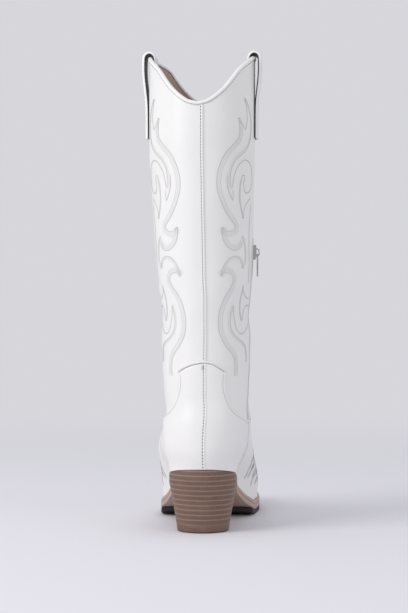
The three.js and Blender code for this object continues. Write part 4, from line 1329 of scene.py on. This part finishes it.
sole_leather = sole_leather_material("burnished sole leather", (0.4, 0.285, 0.24), (0.5, 0.365, 0.315))
tuck = -heel_cover * (1 - smooth((sole_rim[:, 1] - heel_breast + 0.5) / 1.5))
welt_top = seat_gap
welt_foot = welt_top + welt_thickness
outsole_top = welt_foot + layer_gap
outsole_foot = outsole_top + outsole_thickness
welt_profile = [
    (-9, welt_top), (tuck - 0.6, welt_top), (tuck - 0.15, welt_top + 0.2), (tuck, welt_top + 0.6),
    (tuck, welt_foot - 0.35), (tuck - 0.3, welt_foot - 0.05), (-9, welt_foot),
]
outsole_profile = [
    (-9, outsole_top), (tuck - 0.35, outsole_top), (tuck - 0.05, outsole_top + 0.3),
    (tuck + 0.05, outsole_top + 1.6), (tuck, outsole_foot - 0.7), (tuck - 0.25, outsole_foot - 0.2),
    (tuck - 0.8, outsole_foot), (-9, outsole_foot),
]
for name, profile, node in (
    ("welt_layer", welt_profile, "welt"),
    ("outsole_layer", outsole_profile, "outsole"),
):
    layer = sole_layer(name, sole_rim, profile)
    layer.data.materials.append(sole_leather)
    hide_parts(node)
    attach(layer, "boot")

# Forefoot tread: a black rubber half sole cemented under the outsole, cut off straight behind the
# ball. Its lower edge is moulded round, and its ground face has fine cross ribs.
tread_start = 0.505
tread_rear = heel_back + tread_start * foot_length
tread_round = 1.8


def cut_outline(outline, keep, cut_y, corner):
    """The part of the sole's outline on one side of a straight cut across it, with soft corners."""
    half = len(outline) // 2
    sides = []
    for part in (outline[: half + 1], outline[[0, *range(len(outline) - 1, half - 1, -1)]]):
        at = np.array([np.interp(cut_y, part[:, 1], part[:, axis]) for axis in range(3)])
        inward = -np.sign(at[0])
        back = -1 if keep == "front" else 1
        near = np.array([np.interp(cut_y - back * corner, part[:, 1], part[:, axis]) for axis in range(3)])
        soft = at + np.array([inward * 0.3 * corner, -back * 0.3 * corner, 0])
        inner = at + np.array([inward * corner, 0, 0])
        if keep == "front":
            kept = part[part[:, 1] > cut_y + corner * 1.2]
            sides.append(np.vstack([inner, soft, near, kept]))
        else:
            kept = part[part[:, 1] < cut_y - corner * 1.2]
            sides.append(np.vstack([kept, near, soft, inner]))
    outer, inner = sides
    if keep == "front":
        return np.vstack([outer, inner[:-1][::-1]]), len(outer) + len(inner) - 2
    return np.vstack([outer, inner[1:][::-1]]), 0


tread_outline, tread_lead = cut_outline(sole_rim, "front", tread_rear, 1.5)
tread_top = outsole_foot + 0.15
tread_foot = forefoot_top
tread_profile = [(-9, tread_top), (-0.5, tread_top), (-0.1, tread_top + 0.3)] + [
    (
        -tread_round * (1 - math.cos(turn)) - 0.0,
        tread_foot - tread_round * (1 - math.sin(turn)),
    )
    for turn in np.radians([0, 18, 36, 54, 72, 90])
] + [(-tread_round - 8, tread_foot)]
tread = sole_layer("rubber_half_sole", tread_outline, tread_profile, tread_lead)
black_rubber = bpy.data.materials.new("black tread rubber")
black_rubber.use_nodes = True
rubber_nodes, rubber_links = black_rubber.node_tree.nodes, black_rubber.node_tree.links
rubber_shader = rubber_nodes["Principled BSDF"]
rubber_shader.inputs["Base Color"].default_value = (0.012, 0.011, 0.01, 1)
rubber_shader.inputs["Roughness"].default_value = 0.6
rubber_place = rubber_nodes.new("ShaderNodeTexCoord")
rubber_ribs = rubber_nodes.new("ShaderNodeTexWave")
rubber_ribs.bands_direction = "Y"
rubber_ribs.inputs["Scale"].default_value = 90
rubber_relief = rubber_nodes.new("ShaderNodeBump")
rubber_relief.inputs["Strength"].default_value = 0.5
rubber_relief.inputs["Distance"].default_value = 0.0006
rubber_links.new(rubber_place.outputs["Object"], rubber_ribs.inputs["Vector"])
rubber_links.new(rubber_ribs.outputs["Fac"], rubber_relief.inputs["Height"])
rubber_links.new(rubber_relief.outputs["Normal"], rubber_shader.inputs["Normal"])
tread.data.materials.append(black_rubber)
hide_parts("forefoot_tread")
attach(tread, "boot")

# Heel: a block covered in brown stacked leather whose even layers show as fine lighter lines. It
# tapers to its ground face, and its cover rises behind the breast to the edge of the upper.
heel_base_length = 44
heel_base_half = 23
heel_hollow = 1.15
heel_seat_drop = 8.9
stack_low = 7.45
stack_high_drop = 0.3
layer_height = 4.36
first_line = 7.5
line_depth = 0.16
heel_rim, heel_lead = cut_outline(sole_rim, "rear", heel_breast, 1.6)
heel_seat_half = np.abs(heel_rim[:, 0]).max()


def heel_ring(z, grow=0.0):
    """The heel's outline at given heights, one height for each place of its rim."""
    seat_z = sole_line(heel_rim[:, 2]) - heel_seat_drop
    share = np.clip(z / seat_z, 0, 1)[:, None] ** heel_hollow
    base_x = heel_rim[:, 0] * heel_base_half / heel_seat_half
    base_y = ((heel_rim[:, 1] - heel_back_top) / heel_top_length - 0.5) * heel_base_length
    place = mix(np.column_stack([base_x, base_y]), heel_rim[:, :2], share)
    ways = rim_ways(place)
    return np.column_stack([place + ways * np.broadcast_to(grow, len(place))[:, None], z])


def line_relief(z):
    """The layers' edges: a shallow rounded groove at each line."""
    away = (z - first_line + layer_height / 2) % layer_height - layer_height / 2
    return -line_depth * np.exp(-((away / 0.45) ** 2))


def stacked_leather(name, base, line, shade):
    """Stacked leather: brown layers with a light line at each joint, and painted shade that darkens each layer toward
    its lower edge.
    """
    material = bpy.data.materials.new(name)
    material.use_nodes = True
    nodes, links = material.node_tree.nodes, material.node_tree.links
    shader = nodes["Principled BSDF"]

    def calculate(operation, first, second=None, clamp=False):
        node = nodes.new("ShaderNodeMath")
        node.operation = operation
        node.use_clamp = clamp
        for socket, value in zip(node.inputs, (first, second)):
            if value is None:
                continue
            if isinstance(value, (int, float)):
                socket.default_value = value
            else:
                links.new(value, socket)
        return node.outputs[0]

    def colour_mix(share, low, high):
        node = nodes.new("ShaderNodeMix")
        node.data_type = "RGBA"
        links.new(share, node.inputs["Factor"])
        for socket, value in ((node.inputs["A"], low), (node.inputs["B"], high)):
            if isinstance(value, tuple):
                socket.default_value = (*value, 1)
            else:
                links.new(value, socket)
        return node.outputs["Result"]

    place = nodes.new("ShaderNodeTexCoord")
    parts = nodes.new("ShaderNodeSeparateXYZ")
    links.new(place.outputs["Object"], parts.inputs["Vector"])
    ripple = nodes.new("ShaderNodeTexNoise")
    ripple.inputs["Scale"].default_value = 30
    links.new(place.outputs["Object"], ripple.inputs["Vector"])
    wander = calculate("MULTIPLY", calculate("SUBTRACT", ripple.outputs["Fac"], 0.5), 0.0005)
    height = calculate("ADD", parts.outputs["Z"], wander)
    layers = calculate("DIVIDE", calculate("SUBTRACT", height, first_line * 0.001), layer_height * 0.001)
    level = calculate("FRACT", layers)
    off_line = calculate("SUBTRACT", 0.5, calculate("ABSOLUTE", calculate("SUBTRACT", level, 0.5)))
    on_line = calculate("SUBTRACT", 1, calculate("DIVIDE", off_line, 0.2), clamp=True)
    on_line = calculate("SMOOTH_MIN", on_line, 1)
    above_lift = calculate("GREATER_THAN", parts.outputs["Z"], (first_line - 0.9) * 0.001)
    on_line = calculate("MULTIPLY", on_line, above_lift)
    speckle = nodes.new("ShaderNodeTexNoise")
    speckle.inputs["Scale"].default_value = 900
    speckle.inputs["Detail"].default_value = 3
    links.new(place.outputs["Object"], speckle.inputs["Vector"])
    patches = nodes.new("ShaderNodeTexNoise")
    patches.inputs["Scale"].default_value = 70
    patches.inputs["Detail"].default_value = 2
    links.new(place.outputs["Object"], patches.inputs["Vector"])
    grain = calculate("ADD", calculate("MULTIPLY", speckle.outputs["Fac"], 0.7),
                      calculate("MULTIPLY", patches.outputs["Fac"], 0.3))
    fibre_range = nodes.new("ShaderNodeMapRange")
    fibre_range.inputs["From Min"].default_value = 0.38
    fibre_range.inputs["From Max"].default_value = 0.62
    links.new(grain, fibre_range.inputs["Value"])
    body = colour_mix(fibre_range.outputs["Result"], shade, base)
    # Painted shade: each layer is darkened toward its lower edge.
    fade = calculate("MULTIPLY", calculate("SUBTRACT", 1, level), 0.35)
    fade = calculate("MULTIPLY", fade, above_lift)
    body = colour_mix(fade, body, shade)
    colour = colour_mix(on_line, body, line)
    # The lowest 1.1 mm is darkened toward near-black.
    ground = calculate("LESS_THAN", parts.outputs["Z"], 0.0011)
    ground = calculate("MULTIPLY", ground, 0.75)
    colour = colour_mix(ground, colour, (0.03, 0.022, 0.018))
    links.new(colour, shader.inputs["Base Color"])
    relief = nodes.new("ShaderNodeBump")
    relief.inputs["Strength"].default_value = 0.25
    relief.inputs["Distance"].default_value = 0.0002
    links.new(grain, relief.inputs["Height"])
    links.new(relief.outputs["Normal"], shader.inputs["Normal"])
    shader.inputs["Roughness"].default_value = 0.52
    shader.inputs["Specular IOR Level"].default_value = 0.35
    return material


heel_leather = stacked_leather("brown stacked leather", (0.2, 0.125, 0.092), (0.3, 0.205, 0.165), (0.145, 0.086, 0.062))
stack_rings = []
seat_top = sole_line(heel_rim[:, 2]) - stack_high_drop
for share in np.linspace(0, 1, 110):
    z = mix(stack_low, seat_top, share)
    to_top = np.clip((seat_top - z) / 0.9, 0, 1)
    soft_top = -0.9 * (1 - np.sqrt(1 - (1 - to_top) ** 2))
    to_foot = np.clip((z - stack_low) / 0.4, 0, 1)
    stack_rings.append(heel_ring(z, line_relief(z) * to_foot + soft_top - 0.1 * (1 - to_foot)))
stack_rings = [heel_ring(np.full(len(heel_rim), stack_low), -6.0)] + stack_rings
stack_rings.append(np.column_stack([stack_rings[-1][:, :2] + rim_ways(heel_rim) * -6.0, seat_top]))
stack = layer_from("stacked_heel", stack_rings[::-1], heel_lead, 50)
stack.data.materials.append(heel_leather)
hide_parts("heel_stack")
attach(stack, "boot")

# Toplift: the replaceable bottom piece of the heel, of the same brown, darkened toward near-black in
# its lowest millimetre. Its lower corner is worn and moulded a little round.
toplift_thickness = 7.3
toplift_round = 1.2
lift_rings = []
for turn in np.radians([90, 72, 54, 36, 18, 0]):
    z = np.full(len(heel_rim), toplift_round * (1 - math.sin(turn)))
    lift_rings.append(heel_ring(z, -toplift_round * (1 - math.cos(turn))))
lift_rings = lift_rings[::1]
for z, grow in ((3.5, 0.05), (toplift_thickness - 0.4, 0.0), (toplift_thickness, -0.4), (toplift_thickness, -6.0)):
    lift_rings.append(heel_ring(np.full(len(heel_rim), z), grow))
foot_ring = heel_ring(np.zeros(len(heel_rim)), -toplift_round - 6.0)
toplift = layer_from("toplift_block", [*lift_rings[::-1], foot_ring], heel_lead, 50)
toplift.data.materials.append(heel_leather)
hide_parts("heel_toplift")
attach(toplift, "boot")

# Stitching: every seam and the flame pattern are sewn with twisted polyester thread, pulled down into
# the leather. One stitch is a short rounded bead, and each row is a line of its copies.
bpy.ops.object.select_all(action="DESELECT")
bpy.ops.mesh.primitive_uv_sphere_add(segments=6, ring_count=4, radius=0.0005, location=(0, 0, 0))
stitch = bpy.context.object
stitch.name = "one_stitch"
bpy.ops.object.mode_set(mode="EDIT")
bpy.ops.mesh.select_all(action="SELECT")
bpy.ops.transform.rotate(value=math.radians(90), orient_axis="X", center_override=(0, 0, 0))
bpy.ops.transform.resize(value=(1, 1, 0.8))
bpy.ops.object.mode_set(mode="OBJECT")


def thread_material(name, colour, roughness=0.6):
    """Twisted thread: fine plies across each stitch."""
    material = bpy.data.materials.new(name)
    material.use_nodes = True
    nodes, links = material.node_tree.nodes, material.node_tree.links
    shader = nodes["Principled BSDF"]
    place = nodes.new("ShaderNodeTexCoord")
    plies = nodes.new("ShaderNodeTexNoise")
    plies.inputs["Scale"].default_value = 2600
    links.new(place.outputs["Object"], plies.inputs["Vector"])
    tint = nodes.new("ShaderNodeValToRGB")
    tint.color_ramp.elements[0].color = (*[c * 0.75 for c in colour], 1)
    tint.color_ramp.elements[1].color = (*[min(1, c * 1.2) for c in colour], 1)
    links.new(plies.outputs["Fac"], tint.inputs["Fac"])
    links.new(tint.outputs["Color"], shader.inputs["Base Color"])
    shader.inputs["Roughness"].default_value = roughness
    return material


grey_thread = thread_material("grey thread", (0.24, 0.236, 0.225))
pale_thread = thread_material("pale grey thread", (0.5, 0.495, 0.48))
# Near-black thread: painted shade of the stitched groove and its needle holes.
thread_painted_groove_shade = thread_material("thread with painted groove shade", (0.075, 0.07, 0.065))


def even_row(points, normals, pitch, closed=False):
    """Stitch spots at one pitch along a line of points, with the ways out of the leather there."""
    if closed:
        points, normals = np.vstack([points, points[:1]]), np.vstack([normals, normals[:1]])
    length = np.concatenate([[0], np.cumsum(np.linalg.norm(np.diff(points, axis=0), axis=1))])
    count = max(3, int(length[-1] / pitch))
    at = (np.arange(count) + 0.5) * length[-1] / count
    spots = np.column_stack([np.interp(at, length, points[:, axis]) for axis in range(3)])
    ways = np.column_stack([np.interp(at, length, normals[:, axis]) for axis in range(3)])
    return spots, ways / np.linalg.norm(ways, axis=1)[:, None]


def row_on_leather(line, out, pitch):
    """A row of stitches along a line of distances round the boot and heights."""
    turn = turn_of(line[:, 0], line[:, 1])
    return even_row(*leather(turn, line[:, 1], out), pitch)


def beside(line, gap):
    """A line that runs beside another at a gap, on its left as it is walked with z up."""
    way = np.gradient(line, axis=0)
    way /= np.maximum(np.linalg.norm(way, axis=1), 1e-9)[:, None]
    return line + np.column_stack([-way[:, 1], way[:, 0]]) * gap


def sew(name, rows, size, thread, cut=0):
    """One piece of joined stitches from rows of spots and ways out."""
    spots, across, along, out = [], [], [], []
    for points, normals in rows:
        if len(points) < 3:
            continue
        ways = ways_along(points, normals)
        spots.append(points)
        across.append(ways[0])
        along.append(ways[1])
        out.append(ways[2])
    ways = tuple(np.concatenate(way) for way in (across, along, out))
    piece = copies_along(stitch, np.concatenate(spots), ways, name, size)
    piece.data.materials.append(thread)
    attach(piece, "boot")
    return piece


# Flame pattern on the shaft: the places are read off the inner half of the boot's back, on two
# charts that enlarge the photograph. The outer half and the front are sewn as its mirror images.
chart_scale = 12.06
upper_chart = (70, 130)
lower_chart = (70, 240)
upper_flame = {
    "outline": ([0, 1.9, 3.8], [
        (1225, -150), (1238, -60), (1243, 30), (1235, 80), (1200, 135), (1150, 190), (1090, 250),
        (1040, 330), (1000, 420), (975, 510), (965, 600), (967, 690), (985, 770), (1010, 845),
        (1050, 940), (1100, 1030), (1150, 1100), (1180, 1140), (1190, 1168), (1172, 1203),
        (1140, 1222), (1095, 1225), (1058, 1205), (1030, 1165)]),
    "basin": ([0, 1.9, 3.8], [
        (1030, 1165), (1025, 1230), (1035, 1290), (1060, 1360), (1100, 1410), (1150, 1443),
        (1195, 1452), (1232, 1435), (1262, 1395), (1275, 1350)]),
    "first_spike": ([0], [(1302, -390), (1322, -270), (1332, -150), (1325, -70), (1310, -5)]),
    "second_spike": ([0], [(1310, -5), (1270, -70), (1225, -150)]),
    "inner_line": ([0, -1.9], [
        (1302, -390), (1345, -290), (1370, -180), (1380, -60), (1375, 60), (1350, 180), (1310, 250),
        (1260, 300), (1205, 345), (1170, 400), (1140, 470), (1130, 540), (1125, 610), (1132, 665),
        (1150, 692)]),
    "leaf": ([0], [
        (1150, 692), (1158, 640), (1175, 555), (1197, 480), (1232, 418), (1270, 378), (1312, 362),
        (1350, 388), (1375, 440), (1385, 520), (1387, 620), (1377, 695), (1352, 745), (1325, 762),
        (1302, 742), (1291, 690), (1288, 640), (1303, 590), (1298, 552), (1275, 550), (1262, 590)]),
    "leaf_tail": ([0], [(1088, 540), (1089, 640), (1102, 715), (1128, 785), (1155, 850)]),
    "leaf_return": ([0], [(1155, 850), (1163, 790), (1158, 730)]),
    "tongue": ([0, 1.6], [
        (1262, 590), (1248, 640), (1240, 710), (1236, 790), (1240, 870), (1255, 955), (1272, 1030),
        (1280, 1070)]),
    "tongue_return": ([0], [(1280, 1070), (1287, 1000), (1302, 930), (1332, 870), (1368, 820)]),
    "near_stem": ([0, 1.7], [(1262, 1288), (1290, 1340), (1303, 1420), (1308, 1500), (1308, 1570)]),
    "far_stem": ([0], [(1372, 900), (1362, 1050), (1352, 1250), (1352, 1420), (1355, 1570)]),
}
lower_flame = {
    "near_stem": ([0, 1.7], [(1308, 243), (1300, 262), (1287, 300), (1272, 345)]),
    "far_stem": ([0], [(1355, 243), (1350, 330), (1348, 420), (1343, 520)]),
    "arc": ([0, 1.9], [
        (1275, 345), (1277, 300), (1265, 255), (1238, 213), (1198, 196), (1150, 206), (1100, 240),
        (1057, 300), (1030, 370), (1015, 440)]),
    "neck": ([0, 1.9, 3.8], [
        (1015, 440), (1040, 405), (1080, 390), (1120, 400), (1150, 430), (1166, 475), (1155, 525),
        (1130, 580), (1090, 640), (1050, 710), (1015, 790), (990, 870), (980, 955), (985, 1040),
        (1002, 1125), (1035, 1210), (1080, 1290), (1130, 1350), (1168, 1410), (1180, 1470),
        (1182, 1560), (1178, 1640)]),
    "middle": ([0, -1.9], [
        (1165, 790), (1148, 850), (1132, 910), (1126, 970), (1130, 1040), (1150, 1100),
        (1190, 1160), (1240, 1205), (1290, 1250), (1312, 1310), (1320, 1380), (1320, 1470)]),
    "cup": ([0], [
        (1165, 790), (1166, 870), (1176, 960), (1196, 1050), (1222, 1110), (1256, 1131),
        (1292, 1115), (1322, 1065), (1336, 1000)]),
    "hook": ([0, 1.5], [(1275, 550), (1275, 600), (1252, 680), (1239, 760), (1238, 850), (1246, 920),
                        (1262, 975)]),
    "hook_return": ([0], [(1262, 975), (1276, 920), (1284, 860), (1300, 812), (1328, 786), (1346, 803)]),
    "hook_spur": ([0], [(1275, 600), (1298, 655), (1320, 693), (1346, 710)]),
}

photo_yaw = math.radians(1.5)
photo_side = 60
photo_away = 1483
photo_height = 198
photo_focus = 1678
photo_size = (408, 613)
camera_right = Vector((math.cos(photo_yaw), math.sin(photo_yaw), 0))
camera_ahead = Vector((-math.sin(photo_yaw), math.cos(photo_yaw), 0))
camera_place = camera_right * photo_side - camera_ahead * photo_away + Vector((0, 0, photo_height))


def seen_at(across, down):
    """Where a place of the photograph lies on the leather: the angle round the boot and the height."""
    ray = (
        camera_ahead
        + camera_right * ((across - photo_size[0] / 2) / photo_focus)
        + Vector((0, 0, (photo_size[1] / 2 - down) / photo_focus))
    ).normalized()
    for closer in np.arange(0, 6, 0.25):
        start = camera_place - camera_right * closer
        spot = outer_tree.ray_cast(start, ray)[0]
        if spot is not None:
            side = math.copysign(1, spot.x - float(centre_at(spot.y, spot.z)))
            return float(turn_at(side, np.array([spot.y]), np.array([spot.z]))[0]), spot.z
    return None


def charted(chart, scale, places):
    """A smooth line of distances round the boot and heights, from places on a chart."""
    spots = [seen_at(chart[0] + x / scale, chart[1] + y / scale) for x, y in places]
    turns = np.array([spot[0] for spot in spots])
    heights = np.array([spot[1] for spot in spots])
    return flowing(np.column_stack([round_at(turns, heights), heights]), 30 * len(spots))


vamp_edge_turn = vamp_places[-1, :, 2]
vamp_edge_turn = np.where(np.arange(len(vamp_edge_turn)) < vamp_inner.shape[1], np.abs(vamp_edge_turn), vamp_edge_turn)


def clear_of_overlays(turn, z, side):
    """Which stitches lie on the bare shaft, off the vamp, the counter and the zip."""
    edge = vamp_inner[-1] if side > 0 else vamp_outer[-1]
    vamp_z = np.interp(np.abs(turn), np.abs(edge[:, 2]), edge[:, 1], left=0)
    y = mix(back_at(z), front_at(z), (1 - np.cos(turn)) / 2)
    near_zip = (side > 0) & (np.abs(y - zip_place) < 7) & (z < zip_slit_top + 4)
    return (z > vamp_z + 1.5) & (z > shoulder_height + 12) & ~near_zip


main_lines, side_lines = [], []
for chart, strokes in ((upper_chart, upper_flame), (lower_chart, lower_flame)):
    for rows, places in strokes.values():
        line = charted(chart, chart_scale, places)
        main_lines.append(line)
        side_lines += [beside(line, gap) for gap in rows[1:]]
# The rows beside each flame line are near-black dots with no thread of their own: painted shade of the needle holes.
needle_hole_painted_shade = thread_material("needle hole shade", (0.06, 0.058, 0.055))
full_stitch = (0.6, 1.45, 0.5)
needle_dot = (0.52, 0.66, 0.5)
for side, lines, name, size, thread in (
    (-1, main_lines, "flame_stitches_outer", full_stitch, grey_thread),
    (1, main_lines, "flame_stitches_inner", full_stitch, grey_thread),
    (-1, side_lines, "flame_dots_outer", needle_dot, needle_hole_painted_shade),
    (1, side_lines, "flame_dots_inner", needle_dot, needle_hole_painted_shade),
):
    sewn = []
    for line in lines:
        turn = turn_of(line[:, 0], line[:, 1])
        for angles in (turn * side, (np.pi - turn) * side):
            points, normals = leather(angles, line[:, 1], 0.12)
            kept = clear_of_overlays(angles, line[:, 1], side)
            runs = np.split(np.arange(len(kept)), np.flatnonzero(np.diff(kept.astype(int))) + 1)
            for run in runs:
                if kept[run[0]] and len(run) > 8:
                    sewn.append(even_row(points[run], normals[run], 1.9))
    sew(name, sewn, size, thread)

# Vamp flames: the same thread, sewn close together over the inner side of the instep, and their mirror
# image on the outer side.
vamp_chart = (160, 435)
vamp_scale = 19.6
vamp_flames = [
    [(545, 300), (530, 400), (502, 520), (465, 630), (425, 715), (375, 805)],
    [(497, 380), (470, 460), (425, 590), (385, 685), (335, 785), (310, 830)],
    [(560, 590), (556, 670), (522, 740), (475, 820), (452, 900), (432, 980)],
    [(537, 620), (517, 665), (497, 715), (468, 775)],
    [(596, 560), (606, 640), (590, 750), (545, 850), (512, 930)],
    [(520, 430), (500, 520), (468, 600), (440, 650)],
    [(585, 480), (578, 560), (572, 640)],
    [(615, 700), (606, 790), (585, 880), (570, 990)],
]
sewn = []
for places in vamp_flames:
    line = charted(vamp_chart, vamp_scale, places)
    for gap in (0, 2.0):
        row = beside(line, gap)
        turn = turn_of(row[:, 0], row[:, 1])
        for side in (-1, 1):
            sewn.append(even_row(*leather(turn * side, row[:, 1], overlay_thickness + 0.2), 2.0))
sew("vamp_flame_stitches", sewn, (0.75, 1.6, 0.6), grey_thread)

# Seam stitches: thread in the groove beside the back and front seams, under the collar's binding,
# under the ear's bead, and along the edges of the counter and the vamp. Beside the seams and under the
# ear's bead the thread is near-black: painted shade of the groove and its needle holes.
seam_pitch = 2.7
on_strip = 0.58
on_counter = overlay_thickness + 0.12
rows = []
for low, high, out in (
    (heel_height + 0.8, ear_peak - 3.0, on_counter),
    (ear_peak + 0.6, under_binding - back_dip - 0.8, on_strip),
):
    heights = np.linspace(low, high, 160)
    beside_seam = seam_groove_side + seam_shift(heights)
    rows.append(row_on_leather(np.column_stack([beside_seam, heights]), out, seam_pitch))
heights = np.linspace(tongue_peak + 1, under_binding - front_dip - 0.8, 200)
front_turn = np.full(200, np.pi + seam_groove_side / front_round)
rows.append(even_row(*leather(front_turn, heights, on_strip), seam_pitch))
sew("seam_stitches", rows, (1.2, 1.4, 0.7), thread_painted_groove_shade)

collar_row, collar_out, _ = along_collar(0.1, -1.95)
collar_sewn = [even_row(collar_row, collar_out, 2.2, closed=True)]
sew("collar_stitches", collar_sewn, (0.55, 1.3, 0.45), grey_thread)

top_edge = evenly(counter_places[-1], 900)
below = beside(top_edge, -2.3)
edge_on_ear = np.interp(np.arange(900), np.linspace(0, 899, counter_places.shape[1]), on_ear[0])
ear_part = np.abs(turn_of(top_edge[:, 0], top_edge[:, 1]))
is_ear = (top_edge[:, 1] > ear_corner - 0.3) & (np.abs(below[:, 0]) < 21)
sew("ear_stitches", [row_on_leather(below[is_ear], overlay_thickness - 0.2, 2.0)], (0.65, 1.5, 0.5), thread_painted_groove_shade)
first_ear, last_ear = np.flatnonzero(is_ear)[[0, -1]]
rows = [
    row_on_leather(beside(top_edge, -2.0)[: first_ear - 14], overlay_thickness + 0.16, 2.1),
    row_on_leather(beside(top_edge, -2.0)[last_ear + 14 :], overlay_thickness + 0.16, 2.1),
]
for column_index, gap in ((0, -1.7), (-1, 1.7)):
    edge = counter_places[:, column_index]
    rows.append(row_on_leather(beside(evenly(edge, 200), gap)[6:-8], overlay_thickness + 0.16, 2.1))
sew("counter_edge_stitches", rows, (0.5, 1.4, 0.45), grey_thread)

vamp_edge = vamp_places[-1]
edge_points, edge_normals = leather(vamp_edge[:, 2], vamp_edge[:, 1], overlay_thickness + 0.16)
inward_way = np.cross(np.gradient(edge_points, axis=0), edge_normals)
inward_way /= np.linalg.norm(inward_way, axis=1)[:, None]
inward_way *= np.where(inward_way[:, 2:] > 0, -1, 1)
sew("vamp_edge_stitches", [even_row(edge_points + inward_way * 2.0, edge_normals, 2.1)],
    (0.5, 1.4, 0.45), grey_thread)

# Zip stitches: one row down each side of the slit that holds the turned leather and the tape.
rows = [zip_row(zip_bottom + 36, zip_slit_top + 1, across, 0.42, pitch=2.2) for across in (-5.4, 5.4)]
sew("zip_stitches", rows, (0.5, 1.5, 0.45), grey_thread)

# Strap stitches: two rows along each pull strap, close to its edges.
rows = []
for side in (-1, 1):
    path = strap_path(300)
    heading = np.gradient(path, axis=0)
    heading /= np.linalg.norm(heading, axis=1)[:, None]
    for offset in (-strap_width / 2 + 1.75, strap_width / 2 - 1.75):
        y = np.full(len(path), strap_middle + offset)
        base = skin_x(side, y, np.minimum(path[:, 1], collar_height))
        thick = strap_thickness / 2 - 0.02
        spots = np.column_stack([base + side * (path[:, 0] + thick * heading[:, 1]), y, path[:, 1] - thick * heading[:, 0]])
        ways = np.column_stack([side * heading[:, 1], np.zeros(len(path)), -heading[:, 0]])
        rows.append(even_row(spots[3:-3], ways[3:-3], 2.2))
sew("strap_stitches", rows, (0.5, 1.5, 0.4), pale_thread)

# Bartack: a small block of close stitches that locks the back seam under the ear's bead.
tack_rows = []
for step in range(9):
    z = ear_peak - 4.6 - 0.42 * step
    line = np.column_stack([np.linspace(-2.6, -0.1, 12) + seam_shift(z), np.full(12, z)])
    points, normals = leather(turn_of(line[:, 0], line[:, 1]), line[:, 1], overlay_thickness + 0.1)
    tack_rows.append(even_row(points, normals, 0.8))
sew("bartack", tack_rows, (0.4, 0.95, 0.4), pale_thread)
bpy.data.objects.remove(stitch)
# Floor: a plain pale sheet that fades into the pale room, as in a studio with no visible edge. It
# isn't part of the boot.
floor_width = 16.0
fade_near = 0.4
fade_far = 1.6
bpy.ops.object.select_all(action="DESELECT")
bpy.ops.mesh.primitive_plane_add(size=1, location=(0, 0, 0))
floor = bpy.context.object
floor.name = "studio floor"
bpy.ops.object.mode_set(mode="EDIT")
bpy.ops.mesh.select_all(action="SELECT")
bpy.ops.transform.resize(value=(floor_width, floor_width, 1))
bpy.ops.object.mode_set(mode="OBJECT")
floor_paint = bpy.data.materials.new("pale studio floor")
floor_paint.use_nodes = True
floor_shader = floor_paint.node_tree.nodes["Principled BSDF"]
floor_shader.inputs["Base Color"].default_value = (0.8, 0.795, 0.835, 1)
floor_shader.inputs["Roughness"].default_value = 0.9
floor_shader.inputs["Specular IOR Level"].default_value = 0.1
room_colour = (0.675, 0.675, 0.71, 1)
far_glow = floor_paint.node_tree.nodes.new("ShaderNodeEmission")
far_glow.inputs["Color"].default_value = room_colour
blend = floor_paint.node_tree.nodes.new("ShaderNodeMixShader")
floor_place = floor_paint.node_tree.nodes.new("ShaderNodeTexCoord")
reach = floor_paint.node_tree.nodes.new("ShaderNodeVectorMath")
reach.operation = "LENGTH"
fade = floor_paint.node_tree.nodes.new("ShaderNodeMapRange")
fade.interpolation_type = "SMOOTHSTEP"
fade.inputs["From Min"].default_value = fade_near
fade.inputs["From Max"].default_value = fade_far
floor_links = floor_paint.node_tree.links
floor_links.new(floor_place.outputs["Object"], reach.inputs[0])
floor_links.new(reach.outputs["Value"], fade.inputs["Value"])
floor_links.new(fade.outputs["Result"], blend.inputs["Fac"])
floor_links.new(floor_shader.outputs["BSDF"], blend.inputs[1])
floor_links.new(far_glow.outputs["Emission"], blend.inputs[2])
floor_links.new(blend.outputs["Shader"], floor_paint.node_tree.nodes["Material Output"].inputs["Surface"])
floor.data.materials.append(floor_paint)

# Light: one broad soft panel at the left behind the viewer, a weak one at the right, and a pale room.
world = bpy.data.worlds.new("pale room")
bpy.context.scene.world = world
world.use_nodes = True
world.node_tree.nodes["Background"].inputs["Color"].default_value = room_colour
world.node_tree.nodes["Background"].inputs["Strength"].default_value = 1.0


def soft_panel(name, place, size, power, colour):
    light = bpy.data.lights.new(name, "AREA")
    light.shape = "RECTANGLE"
    light.size, light.size_y = size
    light.energy = power
    light.color = colour
    lamp = bpy.data.objects.new(name, light)
    bpy.context.scene.collection.objects.link(lamp)
    lamp.location = place
    lamp.rotation_euler = (Vector((0, 0, 0.2)) - Vector(place)).to_track_quat("-Z", "Y").to_euler()
    return lamp


soft_panel("key panel", (-1.5, -1.2, 1.2), (1.2, 1.6), 24, (1.0, 0.985, 0.965))
soft_panel("fill panel", (1.8, -1.4, 0.9), (1.0, 1.4), 4, (1.0, 0.99, 0.98))

# Camera: level at mid height, behind the boot and a little to its inner side, as the photo was taken.
aim_point = Vector((0, 15, photo_height))
camera_lens = bpy.data.cameras.new("camera")
camera_lens.sensor_fit = "VERTICAL"
camera_lens.sensor_height = 36
camera_lens.lens = 36 * photo_focus / photo_size[1]
camera = bpy.data.objects.new("camera", camera_lens)
bpy.context.scene.collection.objects.link(camera)
camera.location = camera_place * 0.001
camera.rotation_euler = (aim_point - camera_place).to_track_quat("-Z", "Y").to_euler()
bpy.context.scene.camera = camera
bpy.context.scene.view_settings.view_transform = "Standard"
